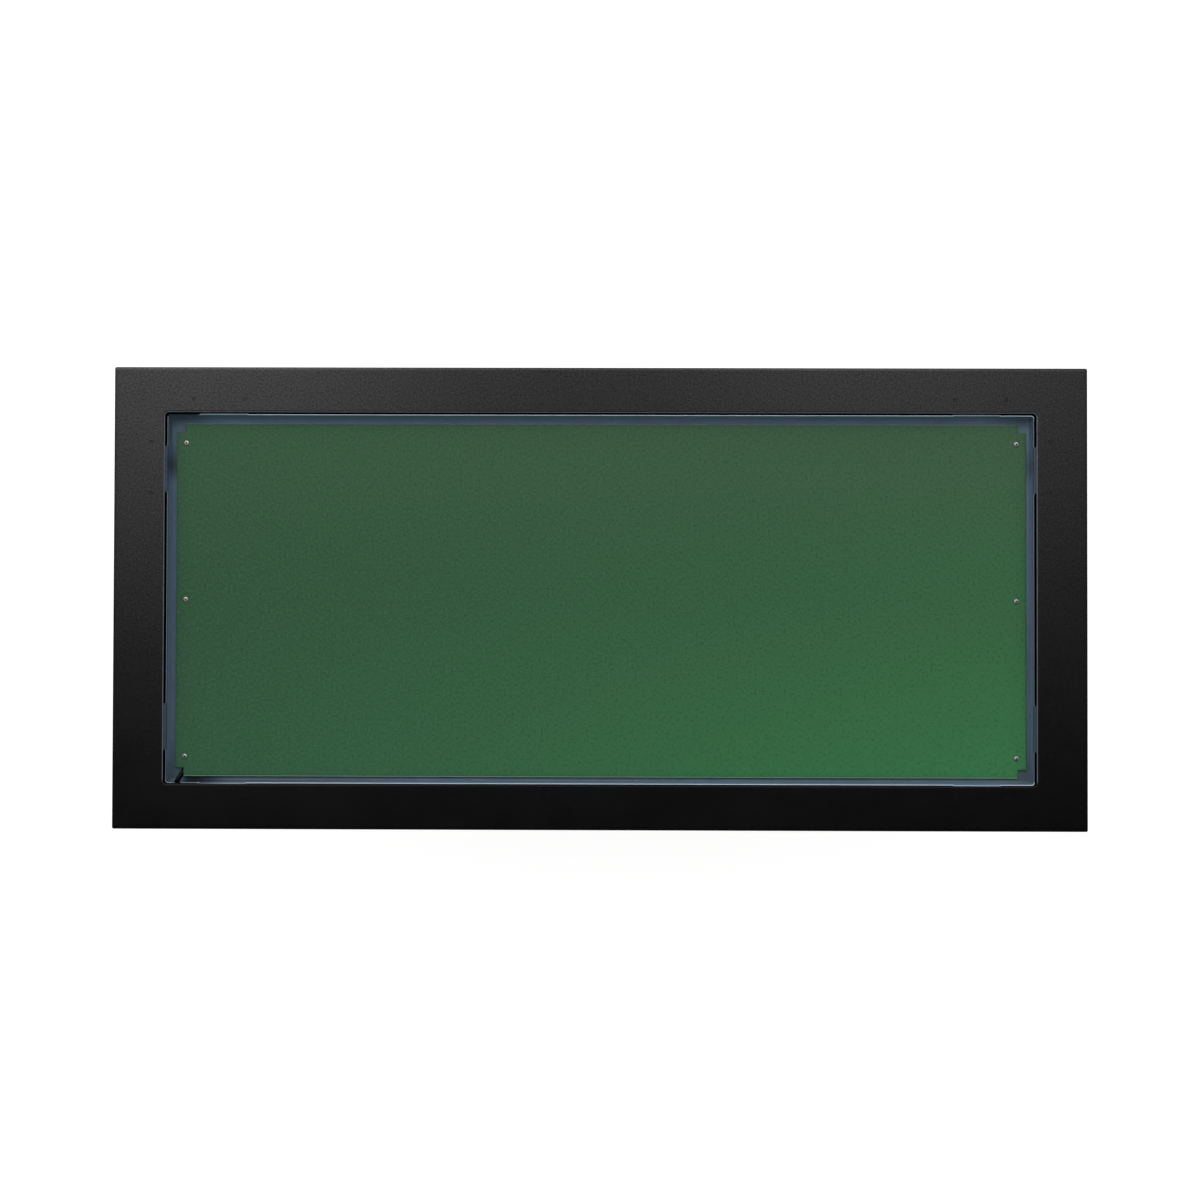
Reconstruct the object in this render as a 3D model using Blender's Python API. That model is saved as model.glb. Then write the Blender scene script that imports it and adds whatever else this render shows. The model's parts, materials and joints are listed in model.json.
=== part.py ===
"""A folding poker table top: a black steel rim round a sunken, cloth-covered playing board, carried on
two leg frames that fold flat under it.

Metres, +Z up, +X along the table's length. The origin is on the floor under the table's centre, and the
model stands at rest with its legs down. Each leg group is built about its hinge axis, with local +X
pointing inwards, the way the legs fold.
"""

import math

import bmesh
import bpy
from mathutils import Matrix, Vector

# Overall size
TABLE_LENGTH = 1.600
TABLE_DEPTH = 0.760
TABLE_HEIGHT = 0.750

# Clearance between two solids that touch in the real table
GAP = 0.0003

# Rim: one pressed steel sheet with a window, a skirt and a lip turned in under it
RIM_SHEET = 0.002
RIM_BEND = 0.003
RIM_CORNER = 0.003
SKIRT_DEPTH = 0.050
SKIRT_LIP = 0.015
WINDOW_LENGTH = 1.433
WINDOW_DEPTH = 0.611
WINDOW_CORNER = 0.0065

# Liner: one folded strip, a wall with a ledge turned in from its foot, hung from the rim by eight tabs
LINER_SHEET = 0.0015
LINER_CORNER = 0.004
LEDGE_DROP = 0.025
LEDGE_WIDTH = 0.045
END_SLOT = 0.0036
FRONT_SLOT = 0.0006
BACK_SLOT = 0.0021
TAB_WEB = 0.076
TAB_FLANGE_WIDTH = 0.104
TAB_FLANGE_REACH = 0.034
LONG_TAB_X = 0.619
SHORT_TAB_Y = 0.212
SEAM_WIDTH = 0.0084
SEAM_FROM_WINDOW = 0.0164
SEAM_ANGLE = math.radians(57)

# Playing board, its cloth, and the six screws that hold them to the ledge
BOARD_LENGTH = 1.403
BOARD_DEPTH = 0.582
BOARD_THICKNESS = 0.004
BOARD_NOTCH = 0.014
BOARD_SHIFT_X = 0.0012
BOARD_SHIFT_Y = -0.0028
CLOTH_THICKNESS = 0.0008
CLOTH_HOLE_PLAY = 0.0004
SCREW_INSET = 0.0150
SCREW_ROW = 0.2594
SCREW_SHANK = 0.0019
SCREW_HEAD = 0.0042
SCREW_HEAD_HEIGHT = 0.0022
SCREW_LENGTH = 0.010

# Frame of angle section that carries the liner's ledge and closes off its slots from below
ANGLE_SHEET = 0.0015
ANGLE_BEYOND_WINDOW = 0.0025
ANGLE_FLANGE = 0.046

# Rails welded between the skirts
END_RAIL_X = 0.7505
END_RAIL_WIDTH = 0.056
END_RAIL_SHEET = 0.002
SUPPORT_RAIL_WIDTH = 0.040
SUPPORT_RAIL_HEIGHT = 0.013
SUPPORT_RAIL_SHEET = 0.0015
SUPPORT_RAIL_X = 0.360

# Leg frames
HINGE_X = 0.745
LEG_Y = 0.325
LEG_TUBE = 0.030
LEG_WALL = 0.0015
LEG_CORNER = 0.003
LEG_ABOVE_AXIS = 0.012
CROSS_TUBE_RADIUS = 0.011
CROSS_TUBE_WALL = 0.0015
UPPER_CROSS_DROP = 0.120
STRETCHER_HEIGHT = 0.150
FOOT_WIDTH = 0.037
FOOT_SOLE = 0.005
FOOT_HEIGHT = 0.030

# Hinge brackets: a welded base and two quadrant cheeks with the clamp bolt's slot
BRACKET_SHEET = 0.003
CHEEK_PLAY = 0.0005
AXIS_BELOW_BASE = 0.020
CHEEK_BACK = 0.016
CHEEK_RADIUS = 0.0485
SLOT_RADIUS = 0.036
BOLT_RADIUS = 0.004
BOLT_PLAY = 0.0003
SLOT_PLAY = 0.0006

# Fasteners on the hinges
HEX_FLATS = 0.013
HEX_HEIGHT = 0.0055
NUT_HEIGHT = 0.0080
NUT_COLLAR = 0.0016
BOLT_CHAMFER = 0.001
DOME_RADIUS = 0.0100
DOME_HEIGHT = 0.0040
WASHER_RADIUS = 0.0120
WASHER_THICKNESS = 0.0015
KNOB_RADIUS = 0.0190
KNOB_LOBE_DEPTH = 0.0035
KNOB_LOBES = 6
KNOB_HUB_RADIUS = 0.0095
KNOB_HUB_HEIGHT = 0.006
KNOB_HEIGHT = 0.020
KNOB_BORE_DEPTH = 0.014

# Rubber pads that the folded legs lie against
PAD_FOOT_RADIUS = 0.012
PAD_TIP_RADIUS = 0.009
PAD_HEIGHT = 0.0072
PAD_BASE = 0.0020
PAD_ROUND = 0.0020

# Heights that follow from the sizes above
RIM_TOP = TABLE_HEIGHT
RIM_UNDER = RIM_TOP - RIM_SHEET
LEDGE_TOP = RIM_TOP - LEDGE_DROP
LEDGE_UNDER = LEDGE_TOP - LINER_SHEET
BOARD_TOP = LEDGE_TOP + GAP + BOARD_THICKNESS
CLOTH_TOP = BOARD_TOP + GAP + CLOTH_THICKNESS
ANGLE_TOP = LEDGE_UNDER - GAP
SUPPORT_RAIL_TOP = ANGLE_TOP - ANGLE_SHEET - GAP
RAIL_UNDER = SUPPORT_RAIL_TOP - SUPPORT_RAIL_HEIGHT
END_RAIL_TOP = RIM_UNDER - GAP - LINER_SHEET - GAP
HINGE_Z = RAIL_UNDER - GAP - BRACKET_SHEET - AXIS_BELOW_BASE
CHEEK_INNER = LEG_TUBE / 2 + CHEEK_PLAY
CHEEK_OUTER = CHEEK_INNER + BRACKET_SHEET

# How finely round shapes are divided
FINE_SEGMENTS = 24
COARSE_SEGMENTS = 12
CORNER_STEPS = 3
TUBE_CORNER_STEPS = 2
CROWN_STEPS = 4
STEPS_PER_LOBE = 8

TIGHTEST_CORNER = 0.0005
MERGE_DISTANCE = 1e-6
SHARP_EDGE = math.radians(35)


# ---------------------------------------------------------------- mesh tools


def clear_scene():
    for obj in list(bpy.data.objects):
        bpy.data.objects.remove(obj, do_unlink=True)


def mesh_from(bm):
    """Closes off a bmesh as a mesh whose faces point outwards."""
    bmesh.ops.recalc_face_normals(bm, faces=bm.faces)
    mesh = bpy.data.meshes.new("shape")
    bm.to_mesh(mesh)
    bm.free()
    return mesh


def prism(outline, axis, low, high):
    """The 2D outline extruded along an axis. The outline's plane is XY, XZ or YZ for axis Z, Y or X."""
    place = {
        "Z": lambda a, b, c: (a, b, c),
        "Y": lambda a, b, c: (a, c, b),
        "X": lambda a, b, c: (c, a, b),
    }[axis]
    bm = bmesh.new()
    face = bm.faces.new([bm.verts.new(place(a, b, low)) for a, b in outline])
    grown = bmesh.ops.extrude_face_region(bm, geom=[face])
    moved = [item for item in grown["geom"] if isinstance(item, bmesh.types.BMVert)]
    bmesh.ops.translate(bm, verts=moved, vec=Vector(place(0, 0, high - low)))
    return mesh_from(bm)


def box(x_span, y_span, z_span):
    (x0, x1), (y0, y1) = x_span, y_span
    return prism([(x0, y0), (x1, y0), (x1, y1), (x0, y1)], "Z", *z_span)


def disc_outline(radius, segments, centre=(0, 0)):
    turns = [math.tau * i / segments for i in range(segments)]
    return [(centre[0] + radius * math.cos(t), centre[1] + radius * math.sin(t)) for t in turns]


def rod(radius, axis, low, high, centre=(0, 0), segments=FINE_SEGMENTS):
    return prism(disc_outline(radius, segments, centre), axis, low, high)


def crown(outer, inner, low, high):
    """Points on a quarter ellipse, from (outer, low) over to (inner, high)."""
    points = []
    for step in range(CROWN_STEPS + 1):
        turn = math.pi / 2 * step / CROWN_STEPS
        points.append((inner + (outer - inner) * math.cos(turn), low + (high - low) * math.sin(turn)))
    return points


def turned(profile, segments=FINE_SEGMENTS):
    """The (radius, height) profile spun about Z. It starts and ends on the axis."""
    bm = bmesh.new()
    line = [bm.verts.new((radius, 0, height)) for radius, height in profile]
    edges = [bm.edges.new(pair) for pair in zip(line, line[1:])]
    bmesh.ops.spin(
        bm, geom=line + edges, axis=(0, 0, 1), cent=(0, 0, 0), steps=segments, angle=math.tau, use_merge=True
    )
    bmesh.ops.remove_doubles(bm, verts=bm.verts, dist=MERGE_DISTANCE)
    return mesh_from(bm)


def rounded_rectangle(half_x, half_y, radius, steps=CORNER_STEPS):
    points = []
    for quarter, (sx, sy) in enumerate(((1, 1), (-1, 1), (-1, -1), (1, -1))):
        for step in range(steps + 1):
            turn = math.pi / 2 * (quarter + step / steps)
            points.append((
                sx * (half_x - radius) + radius * math.cos(turn),
                sy * (half_y - radius) + radius * math.sin(turn),
            ))
    return points


def frame_loft(section):
    """A closed rectangular frame. Each stop of the section is (half_x, half_y, corner radius, z)."""
    bm = bmesh.new()
    loops = []
    for half_x, half_y, radius, z in section:
        loops.append([bm.verts.new((x, y, z)) for x, y in rounded_rectangle(half_x, half_y, radius)])
    for near, far in zip(loops, loops[1:] + loops[:1]):
        for i in range(len(near)):
            j = (i + 1) % len(near)
            bm.faces.new((near[i], near[j], far[j], far[i]))
    return mesh_from(bm)


def moved(mesh, matrix):
    copy = mesh.copy()
    copy.transform(matrix)
    return copy


def gathered(meshes):
    """Several meshes, clear of each other, as the shells of one, to cut or join in a single step."""
    bm = bmesh.new()
    for mesh in meshes:
        bm.from_mesh(mesh)
    return mesh_from(bm)


def boolean(base, tool, operation):
    first = bpy.data.objects.new("base", base)
    second = bpy.data.objects.new("tool", tool)
    for obj in (first, second):
        bpy.context.scene.collection.objects.link(obj)
    modifier = first.modifiers.new("boolean", "BOOLEAN")
    modifier.operation = operation
    modifier.solver = "EXACT"
    modifier.object = second
    bpy.context.view_layer.update()
    result = bpy.data.meshes.new_from_object(first.evaluated_get(bpy.context.evaluated_depsgraph_get()))
    for obj in (first, second):
        bpy.data.objects.remove(obj, do_unlink=True)
    return result


def cut(base, *tools):
    return boolean(base, gathered(tools), "DIFFERENCE")


def joined(base, *others):
    for other in others:
        base = boolean(base, other, "UNION")
    return base


# ---------------------------------------------------------------- scene tools


# Each material's base colour, roughness and metallic value
FINISHES = {
    "black_powder_coat": ((0.025, 0.024, 0.025), 0.45, 0.2),
    "blue_grey_zinc": ((0.05, 0.075, 0.10), 0.35, 0.8),
    "green_cloth": ((0.038, 0.112, 0.052), 0.95, 0.0),
    "raw_fibreboard": ((0.33, 0.22, 0.13), 0.85, 0.0),
    "bright_zinc": ((0.55, 0.55, 0.53), 0.3, 1.0),
    "black_rubber": ((0.02, 0.02, 0.02), 0.8, 0.0),
    "black_plastic": ((0.03, 0.03, 0.032), 0.5, 0.0),
}


def make_material(name):
    colour, roughness, metallic = FINISHES[name]
    material = bpy.data.materials.new(name)
    material.use_nodes = True
    shader = material.node_tree.nodes["Principled BSDF"]
    shader.inputs["Base Color"].default_value = (*colour, 1)
    shader.inputs["Roughness"].default_value = roughness
    shader.inputs["Metallic"].default_value = metallic
    return material


def empty(name, location, turn=0.0):
    obj = bpy.data.objects.new(name, None)
    obj.location = location
    obj.rotation_euler.z = turn
    bpy.context.scene.collection.objects.link(obj)
    return obj


def place(name, mesh, material, parent, location=(0, 0, 0), rotation=(0, 0, 0)):
    """Shows a mesh as a named sub-part. Placed copies may share the mesh."""
    if not mesh.materials:
        mesh.materials.append(material)
    mesh.shade_smooth()
    mesh.set_sharp_from_angle(angle=SHARP_EDGE)
    obj = bpy.data.objects.new(name, mesh)
    obj.parent = parent
    obj.location = location
    obj.rotation_euler = rotation
    bpy.context.scene.collection.objects.link(obj)
    return obj


# ---------------------------------------------------------------- the top


def rim_stop(inset, z):
    """A stop on the rim's section, at a distance in from the table's outline."""
    radius = max(RIM_CORNER - inset, TIGHTEST_CORNER)
    return (TABLE_LENGTH / 2 - inset, TABLE_DEPTH / 2 - inset, radius, z)


def rim_bend(centre_z, first_quarter):
    """Stops round a folded outer edge, over a quarter turn that starts at 0 (facing up) or 1 (facing out)."""
    stops = []
    for step in range(CORNER_STEPS + 1):
        turn = math.pi / 2 * (first_quarter + step / CORNER_STEPS)
        stops.append(rim_stop(RIM_BEND * (1 - math.sin(turn)), centre_z + RIM_BEND * math.cos(turn)))
    return stops


def rim_frame():
    window = (WINDOW_LENGTH / 2, WINDOW_DEPTH / 2, WINDOW_CORNER)
    skirt_foot = RIM_TOP - SKIRT_DEPTH
    section = [(*window, RIM_TOP)]
    section += rim_bend(RIM_TOP - RIM_BEND, 0)
    section += rim_bend(skirt_foot + RIM_BEND, 1)
    section += [
        rim_stop(SKIRT_LIP, skirt_foot),
        rim_stop(SKIRT_LIP, skirt_foot + RIM_SHEET),
        rim_stop(RIM_SHEET, skirt_foot + RIM_SHEET),
        rim_stop(RIM_SHEET, RIM_UNDER),
        (*window, RIM_UNDER),
    ]
    return frame_loft(section)


def liner_stop(inset, z):
    half_x = WINDOW_LENGTH / 2 - END_SLOT - inset
    half_y = (WINDOW_DEPTH - FRONT_SLOT - BACK_SLOT) / 2 - inset
    return (half_x, half_y, max(LINER_CORNER - inset, TIGHTEST_CORNER), z)


def liner_tab(edge, slot):
    """One tab in plan, pointing to +Y over the slot from the liner's wall, with a wider flange beyond."""
    root = edge - slot - LINER_SHEET / 2
    neck = edge + GAP
    tip = edge + TAB_FLANGE_REACH
    web, flange = TAB_WEB / 2, TAB_FLANGE_WIDTH / 2
    return [
        (-web, root), (web, root), (web, neck), (flange, neck),
        (flange, tip), (-flange, tip), (-flange, neck), (-web, neck),
    ]


def liner_tabs():
    """Two tabs on each side of the window: back, left, front and right."""
    top = RIM_UNDER - GAP
    sides = (
        (WINDOW_DEPTH / 2, BACK_SLOT, LONG_TAB_X),
        (WINDOW_LENGTH / 2, END_SLOT, SHORT_TAB_Y),
        (WINDOW_DEPTH / 2, FRONT_SLOT, LONG_TAB_X),
        (WINDOW_LENGTH / 2, END_SLOT, SHORT_TAB_Y),
    )
    tabs = []
    for quarter, (edge, slot, along) in enumerate(sides):
        tab = prism(liner_tab(edge, slot), "Z", top - LINER_SHEET, top)
        turn = Matrix.Rotation(math.pi / 2 * quarter, 4, "Z")
        for sign in (-1, 1):
            tabs.append(moved(tab, turn @ Matrix.Translation((sign * along, 0, 0))))
    return tabs


def seam_cutter():
    """The open joint where the strip's two ends meet, by the front left corner."""
    half, reach = SEAM_WIDTH / 2, LEDGE_WIDTH + LINER_CORNER
    blank = box((-LINER_CORNER, 2 * reach), (-half, half), (LEDGE_UNDER - GAP, RIM_TOP))
    foot = (-WINDOW_LENGTH / 2 + SEAM_FROM_WINDOW, -WINDOW_DEPTH / 2 + FRONT_SLOT, 0)
    return moved(blank, Matrix.Translation(foot) @ Matrix.Rotation(SEAM_ANGLE, 4, "Z"))


def screw_points():
    reach = BOARD_LENGTH / 2 - SCREW_INSET
    return [
        (BOARD_SHIFT_X + side * reach, BOARD_SHIFT_Y + row * SCREW_ROW)
        for side in (-1, 1)
        for row in (-1, 0, 1)
    ]


def screw_holes(radius, low, high):
    return [rod(radius, "Z", low, high, point, COARSE_SEGMENTS) for point in screw_points()]


def liner_ring():
    wall_top = RIM_UNDER - GAP
    ring = frame_loft([
        liner_stop(0, wall_top),
        liner_stop(0, LEDGE_UNDER),
        liner_stop(LEDGE_WIDTH, LEDGE_UNDER),
        liner_stop(LEDGE_WIDTH, LEDGE_TOP),
        liner_stop(LINER_SHEET, LEDGE_TOP),
        liner_stop(LINER_SHEET, wall_top),
    ])
    ring = moved(ring, Matrix.Translation((0, (FRONT_SLOT - BACK_SLOT) / 2, 0)))
    ring = joined(ring, gathered(liner_tabs()))
    holes = screw_holes(SCREW_SHANK + GAP, LEDGE_UNDER - GAP, LEDGE_TOP + GAP)
    return cut(ring, seam_cutter(), *holes)


def board_outline(growth=0.0):
    """The board's plan, a rectangle with a square notch out of each corner, moved out by growth."""
    half_x, half_y = BOARD_LENGTH / 2 + growth, BOARD_DEPTH / 2 + growth
    corner = ((half_x, half_y - BOARD_NOTCH), (half_x - BOARD_NOTCH, half_y - BOARD_NOTCH),
              (half_x - BOARD_NOTCH, half_y))
    outline = []
    for sx, sy in ((1, 1), (-1, 1), (-1, -1), (1, -1)):
        points = [(sx * x, sy * y) for x, y in corner]
        outline += points if sx * sy > 0 else reversed(points)
    return [(BOARD_SHIFT_X + x, BOARD_SHIFT_Y + y) for x, y in outline]


def play_board():
    blank = prism(board_outline(), "Z", LEDGE_TOP + GAP, BOARD_TOP)
    return cut(blank, *screw_holes(SCREW_SHANK + GAP, LEDGE_TOP, BOARD_TOP + GAP))


def felt_cover():
    """The cloth, stretched over the board and down its edges, and punched clear of the screw heads."""
    bottom = LEDGE_TOP + 2 * GAP
    blank = prism(board_outline(GAP + CLOTH_THICKNESS), "Z", bottom, CLOTH_TOP)
    hollow = prism(board_outline(GAP), "Z", bottom - GAP, BOARD_TOP + GAP)
    return cut(cut(blank, hollow), *screw_holes(SCREW_HEAD + CLOTH_HOLE_PLAY, BOARD_TOP, CLOTH_TOP + GAP))


def board_screw():
    """A pan-head screw whose head stands on z = 0."""
    return turned([
        (0, -SCREW_LENGTH),
        (SCREW_SHANK / 2, -SCREW_LENGTH),
        (SCREW_SHANK, -SCREW_LENGTH + 2 * SCREW_SHANK),
        (SCREW_SHANK, 0),
        (SCREW_HEAD, 0),
        *crown(SCREW_HEAD, SCREW_HEAD / 2, SCREW_HEAD_HEIGHT / 3, SCREW_HEAD_HEIGHT),
        (0, SCREW_HEAD_HEIGHT),
    ], COARSE_SEGMENTS)


def angle_stop(inset, z):
    """A stop on the angle frame's section, in from its upright's inner face."""
    half_x = WINDOW_LENGTH / 2 + ANGLE_BEYOND_WINDOW
    half_y = WINDOW_DEPTH / 2 + ANGLE_BEYOND_WINDOW
    return (half_x - inset, half_y - inset, max(WINDOW_CORNER - inset, TIGHTEST_CORNER), z)


def ledge_frame():
    """A welded frame of angle: its upright stands outside the window and its flange carries the ledge."""
    under = ANGLE_TOP - ANGLE_SHEET
    ring = frame_loft([
        angle_stop(-ANGLE_SHEET, END_RAIL_TOP),
        angle_stop(-ANGLE_SHEET, under),
        angle_stop(ANGLE_FLANGE, under),
        angle_stop(ANGLE_FLANGE, ANGLE_TOP),
        angle_stop(0, ANGLE_TOP),
        angle_stop(0, END_RAIL_TOP),
    ])
    return cut(ring, *screw_holes(SCREW_SHANK + GAP, under - GAP, ANGLE_TOP + GAP))


def end_rail():
    """A channel with its web down, across the table under the end of the rim."""
    half_y = TABLE_DEPTH / 2 - RIM_SHEET - GAP
    half_x = END_RAIL_WIDTH / 2
    blank = box((-half_x, half_x), (-half_y, half_y), (RAIL_UNDER, END_RAIL_TOP))
    inner = half_x - END_RAIL_SHEET
    hollow = box((-inner, inner), (-TABLE_DEPTH, TABLE_DEPTH), (RAIL_UNDER + END_RAIL_SHEET, TABLE_HEIGHT))
    return cut(blank, hollow)


def support_rail():
    """A flat box tube across the table under the board."""
    half_y = TABLE_DEPTH / 2 - RIM_SHEET - GAP
    half_x = SUPPORT_RAIL_WIDTH / 2
    blank = box((-half_x, half_x), (-half_y, half_y), (RAIL_UNDER, SUPPORT_RAIL_TOP))
    inner = half_x - SUPPORT_RAIL_SHEET
    floor, roof = RAIL_UNDER + SUPPORT_RAIL_SHEET, SUPPORT_RAIL_TOP - SUPPORT_RAIL_SHEET
    return cut(blank, box((-inner, inner), (-TABLE_DEPTH, TABLE_DEPTH), (floor, roof)))


def rest_pad():
    """A rubber buffer that hangs from z = 0."""
    tip = crown(PAD_TIP_RADIUS, PAD_TIP_RADIUS - PAD_ROUND, -PAD_HEIGHT + PAD_ROUND, -PAD_HEIGHT)
    return turned([
        (0, 0),
        (PAD_FOOT_RADIUS, 0),
        (PAD_FOOT_RADIUS, -PAD_BASE),
        *tip,
        (0, -PAD_HEIGHT),
    ], COARSE_SEGMENTS)


# ---------------------------------------------------------------- hinges, built about the hinge axis


def cheek_outline():
    """A quadrant about the hinge axis, in the XZ plane, closed by the base above."""
    top = AXIS_BELOW_BASE + BRACKET_SHEET
    start = -math.pi / 2 - math.asin(CHEEK_BACK / CHEEK_RADIUS)
    arc = [start * (1 - i / COARSE_SEGMENTS) for i in range(COARSE_SEGMENTS + 1)]
    rim = [(CHEEK_RADIUS * math.cos(turn), CHEEK_RADIUS * math.sin(turn)) for turn in arc]
    return [(-CHEEK_BACK, top)] + rim + [(CHEEK_RADIUS, top)]


def arc_slot_outline():
    """The clamp bolt's path as the leg swings from down to inwards, with round ends."""
    half = BOLT_RADIUS + SLOT_PLAY
    end_steps = COARSE_SEGMENTS // 2
    outline = []
    for i in range(COARSE_SEGMENTS + 1):
        turn = -math.pi / 2 * (1 - i / COARSE_SEGMENTS)
        outline.append(((SLOT_RADIUS + half) * math.cos(turn), (SLOT_RADIUS + half) * math.sin(turn)))
    for i in range(1, end_steps):
        turn = math.pi * i / end_steps
        outline.append((SLOT_RADIUS + half * math.cos(turn), half * math.sin(turn)))
    for i in range(COARSE_SEGMENTS + 1):
        turn = -math.pi / 2 * i / COARSE_SEGMENTS
        outline.append(((SLOT_RADIUS - half) * math.cos(turn), (SLOT_RADIUS - half) * math.sin(turn)))
    for i in range(1, end_steps):
        turn = math.pi / 2 + math.pi * i / end_steps
        outline.append((half * math.cos(turn), -SLOT_RADIUS + half * math.sin(turn)))
    return outline


def hinge_bracket():
    wide = 2 * CHEEK_OUTER
    blank = prism(cheek_outline(), "Y", -CHEEK_OUTER, CHEEK_OUTER)
    channel = box((-TABLE_DEPTH, TABLE_DEPTH), (-CHEEK_INNER, CHEEK_INNER), (-TABLE_DEPTH, AXIS_BELOW_BASE))
    slot = prism(arc_slot_outline(), "Y", -wide, wide)
    pivot_hole = rod(BOLT_RADIUS + BOLT_PLAY, "Y", -wide, wide)
    shell = cut(blank, channel)
    shell = cut(shell, slot)
    return cut(shell, pivot_hole)


def hexagon(flats):
    corner = flats / math.sqrt(3)
    return [(corner * math.cos(math.pi / 3 * i), corner * math.sin(math.pi / 3 * i)) for i in range(6)]


def pivot_bolt():
    """A hex bolt along Y: its head lies outside the -Y cheek and its thread ends past the +Y nut."""
    seat = CHEEK_OUTER + GAP
    head = prism(hexagon(HEX_FLATS), "Y", -seat - HEX_HEIGHT, -seat)
    shank = rod(BOLT_RADIUS, "Y", -seat - HEX_HEIGHT / 2, seat + NUT_HEIGHT + 2 * GAP)
    return joined(head, shank)


def pivot_nut():
    seat = CHEEK_OUTER + GAP
    collar = rod(HEX_FLATS / 2 - GAP, "Y", seat, seat + NUT_HEIGHT)
    body = joined(prism(hexagon(HEX_FLATS), "Y", seat, seat + NUT_HEIGHT - NUT_COLLAR), collar)
    return cut(body, rod(BOLT_RADIUS + BOLT_PLAY, "Y", 0, 2 * seat))


def lock_bolt():
    """A dome-head bolt along Z: the head's seat is at z = 0 and the thread runs to the knob's bore."""
    knob_seat = 2 * (CHEEK_OUTER + GAP) + WASHER_THICKNESS + GAP
    reach = knob_seat + KNOB_BORE_DEPTH - 2 * GAP
    return turned([
        *reversed(crown(DOME_RADIUS, 0, 0, -DOME_HEIGHT)),
        (BOLT_RADIUS, 0),
        (BOLT_RADIUS, reach - BOLT_CHAMFER),
        (BOLT_RADIUS - BOLT_CHAMFER, reach),
        (0, reach),
    ])


def lock_washer():
    disc = rod(WASHER_RADIUS, "Z", 0, WASHER_THICKNESS)
    return cut(disc, rod(BOLT_RADIUS + BOLT_PLAY, "Z", -GAP, WASHER_THICKNESS + GAP))


def knob_outline():
    """A round grip with shallow finger hollows."""
    points = []
    steps = KNOB_LOBES * STEPS_PER_LOBE
    for i in range(steps):
        turn = math.tau * i / steps
        hollow = KNOB_LOBE_DEPTH * (0.5 - 0.5 * math.cos(KNOB_LOBES * turn))
        points.append(((KNOB_RADIUS - hollow) * math.cos(turn), (KNOB_RADIUS - hollow) * math.sin(turn)))
    return points


def lock_knob():
    """A star knob along Z: its hub's seat is at z = 0 and its blind bore takes the clamp bolt."""
    hub = rod(KNOB_HUB_RADIUS, "Z", 0, 0.5 * KNOB_HEIGHT)
    grip = joined(hub, prism(knob_outline(), "Z", KNOB_HUB_HEIGHT, KNOB_HEIGHT))
    return cut(grip, rod(BOLT_RADIUS + BOLT_PLAY, "Z", -GAP, KNOB_BORE_DEPTH))


def tube_pair(width, corner, low, high):
    """The two upright members of a leg frame, as solid bars of a given width."""
    bar = prism(rounded_rectangle(width / 2, width / 2, corner, TUBE_CORNER_STEPS), "Z", low, high)
    return [moved(bar, Matrix.Translation((0, sign * LEG_Y, 0))) for sign in (-1, 1)]


def leg_frame():
    """Two square legs welded to two round cross tubes, hollow throughout and open at the leg ends."""
    top, foot = LEG_ABOVE_AXIS, -HINGE_Z + FOOT_SOLE + GAP
    cross_heights = (-UPPER_CROSS_DROP, -HINGE_Z + STRETCHER_HEIGHT)
    reach = LEG_Y - LEG_TUBE / 2 + LEG_WALL / 2
    outer = [rod(CROSS_TUBE_RADIUS, "Y", -reach, reach, (0, z)) for z in cross_heights]
    bore = CROSS_TUBE_RADIUS - CROSS_TUBE_WALL
    inner = [rod(bore, "Y", -LEG_Y, LEG_Y, (0, z)) for z in cross_heights]
    legs = tube_pair(LEG_TUBE, LEG_CORNER, foot, top)
    hollows = tube_pair(LEG_TUBE - 2 * LEG_WALL, LEG_CORNER - LEG_WALL, foot - GAP, top + GAP)
    shell = joined(outer[0], *legs, outer[1])
    for hollow in hollows + inner:
        shell = cut(shell, hollow)
    bolt_holes = [rod(BOLT_RADIUS + BOLT_PLAY, "Y", -TABLE_DEPTH, TABLE_DEPTH, (0, z), COARSE_SEGMENTS)
                  for z in (0, -SLOT_RADIUS)]
    return cut(shell, *bolt_holes)


def foot_cap():
    """A rubber boot on the leg's end, standing on z = 0."""
    half, mouth = FOOT_WIDTH / 2, LEG_TUBE / 2 + GAP
    cup = prism(rounded_rectangle(half, half, LEG_CORNER * 2), "Z", 0, FOOT_HEIGHT)
    mouth_outline = rounded_rectangle(mouth, mouth, LEG_CORNER, TUBE_CORNER_STEPS)
    socket = prism(mouth_outline, "Z", FOOT_SOLE, FOOT_HEIGHT + GAP)
    return cut(cup, socket)


# ---------------------------------------------------------------- assembly


def build_top(materials):
    root = empty("top", (0, 0, 0))
    black, zinc = materials["black_powder_coat"], materials["bright_zinc"]
    place("rim_frame", rim_frame(), black, root)
    place("liner_ring", liner_ring(), materials["blue_grey_zinc"], root)
    place("play_board", play_board(), materials["raw_fibreboard"], root)
    place("felt_cover", felt_cover(), materials["green_cloth"], root)
    screw = board_screw()
    for number, (x, y) in enumerate(screw_points(), start=1):
        place(f"board_screw_{number}", screw, zinc, root, (x, y, BOARD_TOP + GAP))
    place("ledge_frame", ledge_frame(), black, root)
    end, support = end_rail(), support_rail()
    place("end_rail_left", end, black, root, (-END_RAIL_X, 0, 0))
    place("end_rail_right", end, black, root, (END_RAIL_X, 0, 0))
    for name, x in (("left", -SUPPORT_RAIL_X), ("centre", 0), ("right", SUPPORT_RAIL_X)):
        place(f"support_rail_{name}", support, black, root, (x, 0, 0))
    pad = rest_pad()
    for side, x in (("left", -SUPPORT_RAIL_X), ("right", SUPPORT_RAIL_X)):
        for end_name, y in (("front", -LEG_Y), ("back", LEG_Y)):
            height = RAIL_UNDER - GAP
            place(f"rest_pad_{side}_{end_name}", pad, materials["black_rubber"], root, (x, y, height))


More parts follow.
